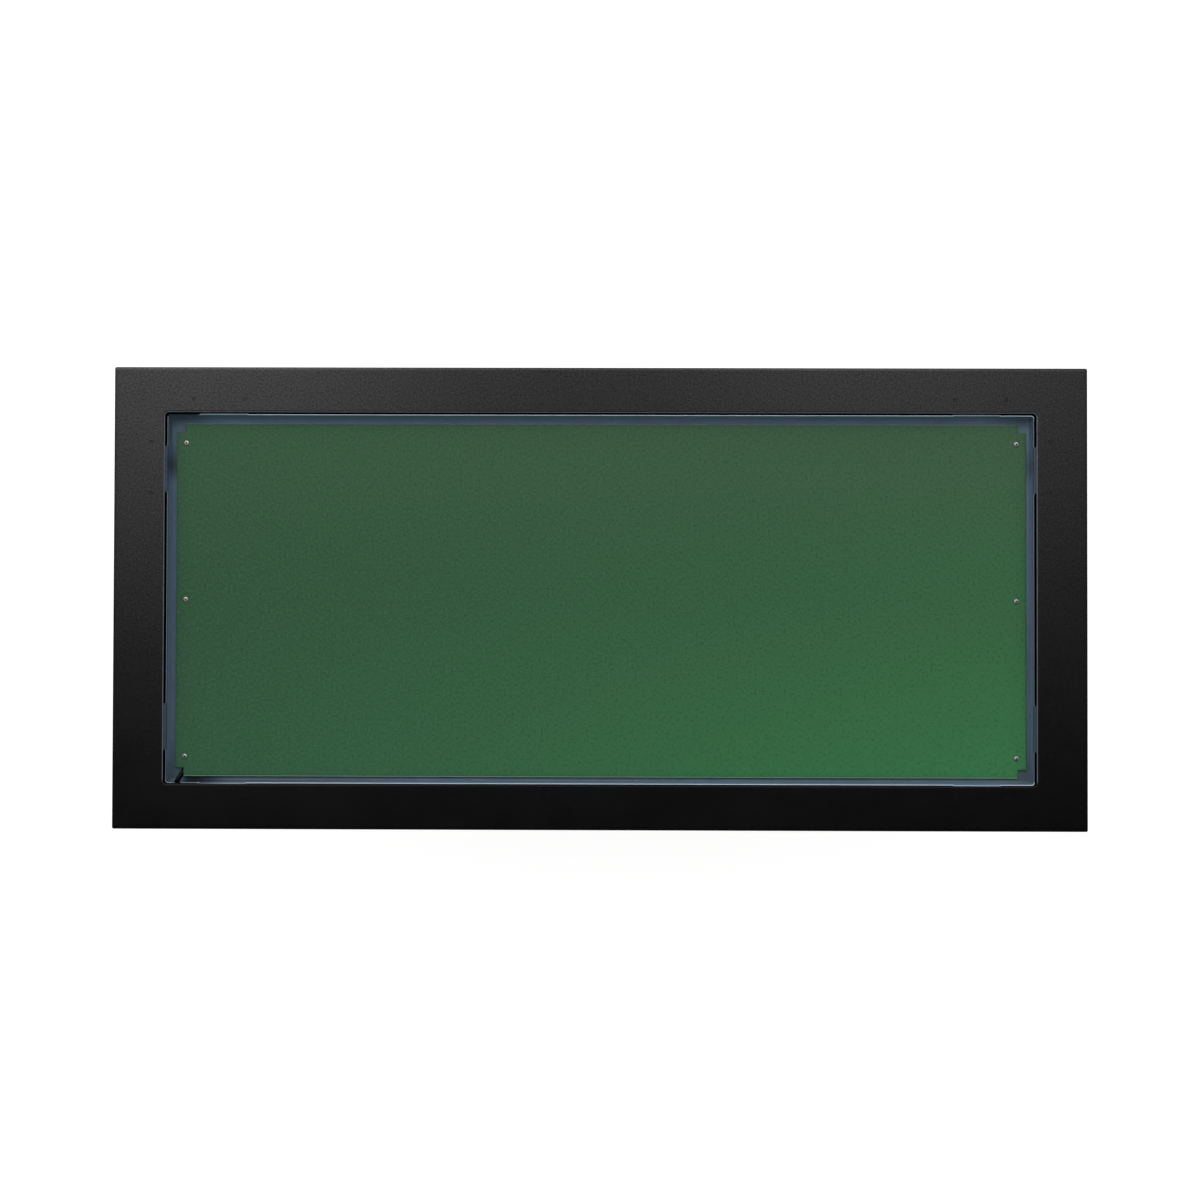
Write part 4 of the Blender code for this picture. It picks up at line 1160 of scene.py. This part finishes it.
def channel_mesh(half, low, high):
    """A U along Y, with its web down and rounded bends."""
    bend, tight, inner_half = CHANNEL_BEND, CHANNEL_BEND - CHANNEL_SHEET, half - CHANNEL_SHEET
    left, right = (-half + bend, low.z + bend), (half - bend, low.z + bend)
    outline = arc(left, bend, 180, 270, 5) + arc(right, bend, 270, 360, 5)
    outline += [(half, high.z), (inner_half, high.z)]
    outline += arc(right, tight, 360, 270, 5) + arc(left, tight, 270, 180, 5)
    outline += [(-inner_half, high.z), (-half, high.z)]
    return bevelled(prism(outline, "Y", low.y, high.y), 0.25 * MM, 1, 60)


def box_rail_mesh(half, low, high):
    """A square tube along Y, open at both ends."""
    tall, middle = (high.z - low.z) / 2, (low.z + high.z) / 2

    def outline(inset, corner):
        loop = rounded_rectangle(half - inset, tall - inset, corner, 4)
        return [(x, middle + z) for x, z in loop]

    bore = prism(outline(RAIL_WALL, RAIL_CORNER - RAIL_WALL), "Y", low.y - MM, high.y + MM)
    return cut(prism(outline(0, RAIL_CORNER), "Y", low.y, high.y), bore)


def build_rails(m):
    piece("angle_frame", ledge_frame_mesh(), m["frame"], BLACK, TABLE, ["ledge_frame"])
    for name in RAILS:
        low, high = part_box(name)
        half = (high.x - low.x) / 2
        place = Matrix.Translation(((low.x + high.x) / 2, 0, 0))
        channel = name in END_RAILS
        mesh = channel_mesh(half, low, high) if channel else box_rail_mesh(half, low, high)
        kind = "_channel" if channel else "_tube"
        piece(name + "_welds", rail_weld_mesh(name), m["weld"], BLACK, TABLE, (), place)
        piece(name + kind, mesh, m["frame"], BLACK, TABLE, [name], place)


def pad_mesh():
    """A rubber buffer that hangs from z = 0, with a rounded tip and a screw well."""
    profile = in_mm((0, 0), (11.6, 0), (12, -0.5), (12, -1.6), (11.4, -2.2))
    profile += [(9.4 * MM, -PAD_HEIGHT + 2.2 * MM)]
    tip, tip_radius = (7.4 * MM, -PAD_HEIGHT + 1.8 * MM), 1.8 * MM
    for turn in (0.2, 0.7, 1.2, 1.57):
        profile.append((tip[0] + tip_radius * math.cos(turn), tip[1] - tip_radius * math.sin(turn)))
    profile += [(4.2 * MM, -PAD_HEIGHT), (3.8 * MM, -PAD_HEIGHT + 0.4 * MM)] + in_mm((3.6, -3.4), (0, -3.4))
    return turned(profile, 36)


def pad_screw_mesh():
    """The pad's own pan head, down in its well."""
    head = turned(in_mm((0, -3.6), (3.2, -3.6), (3.2, -4.4), (2.6, -5.2), (1.2, -5.6), (0, -5.6)), 24)
    recess = moved(cross_recess(1.1 * MM, 1.6 * MM, 0.35 * MM), Matrix.Rotation(math.pi, 4, "X"))
    return cut(head, shifted(recess, z=-5.6 * MM))


def build_pads(m):
    pad, screw = pad_mesh(), pad_screw_mesh()
    for side in ("left", "right"):
        for end in ("front", "back"):
            node = f"rest_pad_{side}_{end}"
            low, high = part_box(node)
            place = Matrix.Translation(((low.x + high.x) / 2, (low.y + high.y) / 2, high.z))
            piece(node + "_rubber", pad, m["rubber"], RUBBER, TABLE, [node], place)
            piece(node + "_screw", screw, m["pad_screw"], ZINC, TABLE, (), place)


# ---------------------------------------------------------------- hinges and legs, built about the hinge axis


def cheek_outline():
    """A quadrant about the hinge axis, closed by the base above, with eased corners."""
    top = AXIS_BELOW_BASE + BRACKET_SHEET
    start = -90 - math.degrees(math.asin(CHEEK_BACK / CHEEK_RADIUS))
    return [(-CHEEK_BACK, top)] + arc((0, 0), CHEEK_RADIUS, start, 0, 28) + [(CHEEK_RADIUS, top)]


def slot_outline():
    """The quadrant slot that the clamp bolt rides in, from straight down to level."""
    outline = arc((0, 0), SLOT_RADIUS + SLOT_HALF, -90, 0, 24)
    outline += arc((SLOT_RADIUS, 0), SLOT_HALF, 0, 180, 10)[1:-1]
    outline += arc((0, 0), SLOT_RADIUS - SLOT_HALF, 0, -90, 24)
    outline += arc((0, -SLOT_RADIUS), SLOT_HALF, 90, 270, 10)[1:-1]
    return outline


def bracket_mesh():
    """Two cheeks and a base in one bent sheet, with the quadrant slot and the pivot hole through both."""
    wide = 2 * CHEEK_OUTER
    shell = prism(cheek_outline(), "Y", -CHEEK_OUTER, CHEEK_OUTER)
    channel = slab((-0.2, 0.2), (-CHEEK_INNER, CHEEK_INNER), (-0.2, AXIS_BELOW_BASE))
    slot = prism(slot_outline(), "Y", -wide, wide)
    for tool in (channel, slot, rod(BOLT_HOLE, "Y", -wide, wide, segments=36)):
        shell = cut(shell, tool)
    return bevelled(shell, 0.4 * MM, 2, 50)


def bracket_weld_mesh():
    """Beads along both sides of the bracket's base, where it meets the rail."""
    top = AXIS_BELOW_BASE + BRACKET_SHEET - 0.3 * MM
    beads = []
    for side in (-1, 1):
        y = side * CHEEK_OUTER
        points = line_points((-CHEEK_BACK + 1 * MM, y, top), (BRACKET_BEAD_END, y, top))
        beads.append(weld_bead(points, BRACKET_BEAD, 5 + side))
    return gathered(beads)


def hex_blank(low, high):
    """A hexagonal prism with both faces chamfered round, along Z."""
    flat, corner = BOLT_FLATS / 2, BOLT_FLATS / math.sqrt(3)
    ease = (corner - flat) * 0.6
    barrel = turned([
        (0, low), (flat * 0.97, low), (corner * 1.02, low + ease),
        (corner * 1.02, high - ease), (flat * 0.97, high), (0, high),
    ], 48)
    return boolean(prism(disc(corner, 6), "Z", low, high), barrel, "INTERSECT")


def thread_along_z(low, high, segments):
    """A stretch of the bolts' thread, with its end chamfered at high."""
    radius, pitch, depth = BOLT_RADIUS, THREAD_PITCH, THREAD_DEPTH
    count = max(2, round((high - low - radius) / pitch))
    points = [(0, low), (radius - depth, low)]
    for i in range(count):
        z = low + 0.2 * MM + i * (high - low - 1.6 * MM) / count
        points += [(radius - depth, z), (radius, z + pitch * 0.45), (radius, z + pitch * 0.55)]
    points += [(radius - depth, high - 0.8 * MM), (radius - 2 * depth, high), (0, high)]
    return turned(points, segments)


def rod_along_z(low, high, segments):
    """A plain stretch of bolt, spun so that it matches the threads and heads beside it."""
    return turned([(0, low), (BOLT_RADIUS, low), (BOLT_RADIUS, high), (0, high)], segments)


def laid_along_y(mesh):
    """Turns a piece built along +Z to lie along +Y."""
    return moved(mesh, Matrix.Rotation(-math.pi / 2, 4, "X"))


def pivot_bolt_mesh():
    """A hex bolt along Y, with its head outside the -Y cheek."""
    seat = CHEEK_OUTER + SEAT_GAP
    head = hex_blank(-seat - BOLT_HEAD, -seat)
    shank = rod_along_z(-seat - 2 * MM, seat - 5 * MM, 36)
    thread = thread_along_z(seat - 6 * MM, seat + NUT_HEIGHT + 0.6 * MM, 36)
    return laid_along_y(joined(head, shank, thread))


def pivot_nut_mesh():
    """A lock nut on the +Y cheek, with a rolled collar over its insert."""
    seat = CHEEK_OUTER + SEAT_GAP
    body = hex_blank(seat, seat + NUT_HEX)
    rolled = in_mm((0, -3), (6.2, -3), (6.2, -1), (5.8, -0.2), (5.0, 0), (0, 0))
    collar = shifted(turned(rolled, 36), z=seat + NUT_HEIGHT)
    bore = rod(BOLT_HOLE, "Z", 0, 2 * (seat + NUT_HEIGHT), segments=36)
    return laid_along_y(cut(joined(body, collar), bore))


def lock_bolt_mesh():
    """A dome-head bolt along Z: the head's seat is at z = 0."""
    reach = 2 * CHEEK_OUTER + SEAT_GAP + WASHER + KNOB_BORE
    crown = DOME_HEIGHT - DOME_RIM
    dome = [(0, -DOME_HEIGHT)]
    for turn in [math.pi / 2 * i / 8 for i in range(1, 9)]:
        dome.append((DOME_RADIUS * math.sin(turn), -DOME_RIM - crown * math.cos(turn)))
    dome += [(DOME_RADIUS, -0.2 * MM), (DOME_RADIUS - 0.2 * MM, 0), (0, 0)]
    thread = thread_along_z(reach - 26 * MM, reach, 32)
    return joined(turned(dome, 48), rod_along_z(-MM, reach - 25 * MM, 32), thread)


def washer_mesh():
    """A plain washer with eased edges, lying on z = 0."""
    bottom = [(0, 0), (WASHER_RADIUS - 0.3 * MM, 0), (WASHER_RADIUS, 0.3 * MM)]
    top = [(WASHER_RADIUS, WASHER - 0.4 * MM), (WASHER_RADIUS - 0.4 * MM, WASHER), (0, WASHER)]
    blank = turned(bottom + top, 48)
    return cut(blank, rod(BOLT_HOLE, "Z", -MM, 2 * WASHER, segments=36))


def knob_mesh():
    """A moulded star knob along Z: lobes with soft hollows, a crowned face and a hub."""
    steps = KNOB_LOBES * 14
    levels = (
        (5.2, 0.88), (5.9, 0.95), (7.2, 0.99), (9, 1.0), (15, 1.0), (17.4, 0.975), (18.9, 0.92), (19.7, 0.82),
        (20, 0.66), (19.7, 0.4), (19.5, 0.34), (18.8, 0.31),
    )
    rings = []
    for height, size in levels:
        lobe = KNOB_LOBE * min(1, size * size * 1.05)
        ring = []
        for turn in [math.tau * i / steps for i in range(steps)]:
            radius = (KNOB_RADIUS - lobe * (0.5 - 0.5 * math.cos(KNOB_LOBES * turn))) * size
            ring.append((radius * math.cos(turn), radius * math.sin(turn), height * MM))
        rings.append(ring)
    hub = turned(in_mm((0, 0), (9, 0), (9.5, 0.5), (9.5, 5), (10.7, 7), (0, 7)), 48)
    return cut(joined(loft(rings), hub), rod(BOLT_HOLE, "Z", -MM, KNOB_BORE, segments=36))


def tube_at(width, corner, low, high, sign):
    """A square bar along Z on one of the two legs."""
    bar = prism(rounded_rectangle(width / 2, width / 2, corner, 5), "Z", low, high)
    return shifted(bar, y=sign * LEG_Y)


def cross_heights():
    """How far the two cross tubes lie from the hinge axis."""
    return (-UPPER_CROSS_DROP, -HINGE.z + STRETCHER_HEIGHT)


def leg_frame_mesh():
    """Two square legs and two round cross tubes, welded into one hollow frame."""
    top, foot = TUBE_HIGH.z - HINGE.z, TUBE_LOW.z - HINGE.z
    reach = LEG_Y - TUBE / 2 + TUBE_WALL / 2
    shell = tube_at(TUBE, TUBE_CORNER, foot, top, -1)
    crosses = [rod(CROSS_RADIUS, "Y", -reach, reach, (0, z), 40) for z in cross_heights()]
    shell = joined(shell, crosses[0], tube_at(TUBE, TUBE_CORNER, foot, top, 1), crosses[1])
    bore, corner = CROSS_RADIUS - CROSS_WALL, TUBE_CORNER - TUBE_WALL
    hollows = [tube_at(TUBE - 2 * TUBE_WALL, corner, foot - MM, top + MM, sign) for sign in (-1, 1)]
    hollows += [rod(bore, "Y", -LEG_Y, LEG_Y, (0, z), 32) for z in cross_heights()]
    hollows += [rod(BOLT_HOLE, "Y", -0.4, 0.4, (0, z), 32) for z in (0, -SLOT_RADIUS)]
    for hollow in hollows:
        shell = cut(shell, hollow)
    return shell


def leg_weld_mesh():
    """A rippled bead round each end of each cross tube."""
    beads = []
    for number, z in enumerate(cross_heights()):
        for sign in (-1, 1):
            centre = (0, sign * (LEG_Y - TUBE / 2 - 0.2 * MM), z)
            ring = ring_points(centre, CROSS_RADIUS + 0.5 * MM, 90)
            beads.append(weld_bead(ring, LEG_BEAD, number * 2 + sign, closed=True))
    return gathered(beads)


def foot_mesh():
    """A rubber boot standing on z = 0: a flared sole, a grooved side and a rolled mouth."""
    levels = in_mm(
        (0, 1.6), (0.5, 0.6), (1.4, 0), (5, 0), (6.2, 0.8), (10, 1.0), (10.8, 1.7),
        (12.2, 1.7), (13, 1.0), (26, 1.2), (27, 0.7), (29, 0.8), (30, 1.7),
    )
    rings = []
    for z, inset in levels:
        half = FOOT_HALF - inset
        rings.append([(x, y, z) for x, y in rounded_rectangle(half, half, FOOT_CORNER, 7)])
    mouth = TUBE / 2 + SEAT_GAP
    socket = prism(rounded_rectangle(mouth, mouth, TUBE_CORNER, 5), "Z", FOOT_SOLE, FOOT_HEIGHT + MM)
    spans = [(y - 0.8 * MM, y + 0.8 * MM) for y in (-8 * MM, 0, 8 * MM)]
    grooves = [slab((-30 * MM, 30 * MM), span, (-MM, MM)) for span in spans]
    return cut(cut(loft(rings), socket), *grooves)


def build_end(side, meshes, m):
    """One end's brackets and legs. The right end is the left one turned half round."""
    left = side == "left"
    pivot = Vector(JOINTS[f"{side}_leg_fold"]["pos_m"])
    base = Matrix.Translation(pivot) @ Matrix.Rotation(0 if left else math.pi, 4, "Z")
    legs = f"{side}_leg_frame"
    piece(f"{side}_legs", meshes["legs"], m["frame"], BLACK, legs, [f"leg_frame_{side}"], base)
    piece(f"{side}_leg_welds", meshes["leg_welds"], m["weld"], BLACK, legs, (), base)
    seat = CHEEK_OUTER + SEAT_GAP
    for sign in (-1, 1):
        where = f"{side}_{'front' if (sign < 0) == left else 'back'}"
        leg = base @ Matrix.Translation((0, sign * LEG_Y, 0))
        facing = leg @ Matrix.Rotation(0 if sign < 0 else math.pi, 4, "Z")
        inwards = Matrix.Rotation(-math.pi / 2 if sign < 0 else math.pi / 2, 4, "X")
        outside = leg @ Matrix.Translation((0, sign * seat, -SLOT_RADIUS)) @ inwards
        inside = leg @ Matrix.Translation((0, -sign * seat, -SLOT_RADIUS)) @ inwards
        beyond = inside @ Matrix.Translation((0, 0, WASHER + SEAT_GAP))
        foot = leg @ Matrix.Translation((0, 0, -HINGE.z))
        for name, kind, material, slot, body, node, place in (
            ("bracket", "bracket", "frame", BLACK, TABLE, "hinge_bracket", leg),
            ("bracket_weld", "bracket_weld", "weld", BLACK, TABLE, None, leg),
            ("hinge_bolt", "pivot_bolt", "zinc", ZINC, TABLE, "pivot_bolt", facing),
            ("hinge_nut", "pivot_nut", "zinc", ZINC, TABLE, "pivot_nut", facing),
            ("clamp_bolt", "lock_bolt", "zinc", ZINC, legs, "lock_bolt", outside),
            ("clamp_washer", "washer", "zinc", ZINC, legs, "lock_washer", inside),
            ("star_knob", "knob", "plastic", PLASTIC, f"{where}_knob", "lock_knob", beyond),
            ("rubber_foot", "foot", "rubber", RUBBER, legs, "foot_cap", foot),
        ):
            replaced = [f"{node}_{where}"] if node else ()
            piece(f"{name}_{where}", meshes[kind], m[material], slot, body, replaced, place)


def build_legs(m):
    meshes = {
        "legs": leg_frame_mesh(),
        "leg_welds": leg_weld_mesh(),
        "bracket": bracket_mesh(),
        "bracket_weld": bracket_weld_mesh(),
        "pivot_bolt": pivot_bolt_mesh(),
        "pivot_nut": pivot_nut_mesh(),
        "lock_bolt": lock_bolt_mesh(),
        "washer": washer_mesh(),
        "knob": knob_mesh(),
        "foot": foot_mesh(),
    }
    for side in ("left", "right"):
        build_end(side, meshes, m)


# ---------------------------------------------------------------- floor, light and camera


FLOOR_HALF = 14.0
FLOOR_GLOW = 0.86
FLOOR_GLINT = 0.14
SKY_MIDDLE = 0.28
SKY_SLOPE = 8.6
SKY_BRIGHTEST = 2.8
SKY_LOW = 0.30
BAND_SHIFT = 0.235
BAND_PERIOD = 0.41
BAND_DEPTH = 0.50
BAND_LEVEL = 0.88
GLOW = 0.30
CAMERA_PLACE = Vector((0.0184, -0.0432, 3.4848))
CAMERA_TURN = (math.radians(0.858), math.radians(0.369), math.radians(0.153))


def floor_material():
    """White paper that glows, so shadows on it stay pale, though less so in reflections. Clear from below."""
    s = Shader("floor_paper")
    fibre = s.noise(4 * MM, 3)
    s.set(Base_Color=s.mix(fibre, (0.28, 0.28, 0.28), (0.32, 0.32, 0.32)), Roughness=0.9)
    mirrored = s.made("LightPath", "Is Glossy Ray")
    glow = s.remap(mirrored, 0, 1, FLOOR_GLOW, FLOOR_GLINT, "LINEAR")
    s.set(Emission_Color=(1, 1, 1), Emission_Strength=glow)
    paper, clear = s.principled.outputs[0], s.made("BsdfTransparent", 0)
    seen = s.made("MixShader", 0, {0: s.made("NewGeometry", "Backfacing"), 1: paper, 2: clear})
    s.put(s.tree.nodes["Material Output"].inputs["Surface"], seen)
    return s.material


def build_floor():
    """One sheet of paper, lit from above and seen through from below."""
    corners = ((-1, -1), (1, -1), (1, 1), (-1, 1))
    bm = bmesh.new()
    bm.faces.new([bm.verts.new((x * FLOOR_HALF, y * FLOOR_HALF, 0)) for x, y in corners])
    mesh = bpy.data.meshes.new("floor")
    bm.to_mesh(mesh)
    bm.free()
    mesh.materials.append(floor_material())
    floor = bpy.data.objects.new("floor", mesh)
    bpy.context.scene.collection.objects.link(floor)


def area_light(name, location, target, size, power, mirrored=False):
    """A soft light at the table. Unless it is mirrored, shiny surfaces don't show it."""
    data = bpy.data.lights.new(name, "AREA")
    data.shape = "RECTANGLE"
    data.size, data.size_y = size
    data.energy = power
    light = bpy.data.objects.new(name, data)
    light.location = location
    light.rotation_euler = (Vector(target) - Vector(location)).to_track_quat("-Z", "Y").to_euler()
    light.visible_glossy = mirrored
    bpy.context.scene.collection.objects.link(light)


def build_world():
    """White to the camera. The object sees a sky that brightens from the front to the back overhead,
    a little brighter on the left and in two broad bands, and a softer glow low down at front and back."""
    world = bpy.data.worlds.new("studio")
    bpy.context.scene.world = world
    world.use_nodes = True
    w = Nodes(world.node_tree)
    view = w.made("TexCoord", "Generated")
    x, y, z = w.split(view, "X"), w.split(view, "Y"), w.split(view, "Z")
    slope = w.math("ADD", w.times(y, SKY_SLOPE), SKY_MIDDLE)
    overhead = w.math("MINIMUM", w.math("MAXIMUM", slope, 0.0), SKY_BRIGHTEST)
    bands = w.math("COSINE", w.times(w.math("ADD", x, BAND_SHIFT), math.tau / BAND_PERIOD))
    near = w.remap(w.math("ABSOLUTE", x), 0.50, 0.35, 0.0, BAND_DEPTH)
    banded = w.math("ADD", w.times(bands, near), BAND_LEVEL)
    sideways = w.remap(x, -0.3, 0.35, 1.05, 0.66)
    fade = w.remap(z, 0.45, 0.92, SKY_LOW, 1.0)
    lengthwise = w.remap(w.math("ABSOLUTE", y), 0.15, 0.7, 0.35, 1.0)
    glow = w.times(w.remap(z, 0.9, 0.35, 0.0, 1.0), lengthwise, GLOW)
    sky = w.math("ADD", w.times(overhead, banded, sideways, fade), glow)
    seen = w.made("LightPath", "Is Camera Ray")
    background = w.tree.nodes["Background"]
    w.put(background.inputs["Color"], (1, 1, 1))
    w.put(background.inputs["Strength"], w.remap(seen, 0, 1, sky, 1.0, "LINEAR"))


def build_lights():
    build_world()
    area_light("back_softbox", (-0.2, 2.3, 3.3), (0, 0, TOP), (3.2, 1.0), 26, mirrored=True)
    area_light("front_softbox", (0.4, -2.3, 3.3), (0, 0, TOP), (3.0, 0.9), 18)
    area_light("left_softbox", (-2.9, 0.0, 2.9), (0, 0, TOP), (1.0, 2.0), 9)
    area_light("right_softbox", (2.9, 0.0, 2.9), (0, 0, TOP), (1.0, 2.0), 8)


def build_camera():
    """Straight above the table, with the slight tilt and turn of a hand-set stand."""
    data = bpy.data.cameras.new("camera")
    data.lens = 50
    data.sensor_width = 36
    camera = bpy.data.objects.new("camera", data)
    camera.location = CAMERA_PLACE
    camera.rotation_euler = CAMERA_TURN
    bpy.context.scene.collection.objects.link(camera)
    bpy.context.scene.camera = camera
    bpy.context.scene.view_settings.view_transform = "Standard"


materials = build_materials()
build_top(materials)
build_rails(materials)
build_pads(materials)
build_legs(materials)
build_floor()
build_lights()
build_camera()
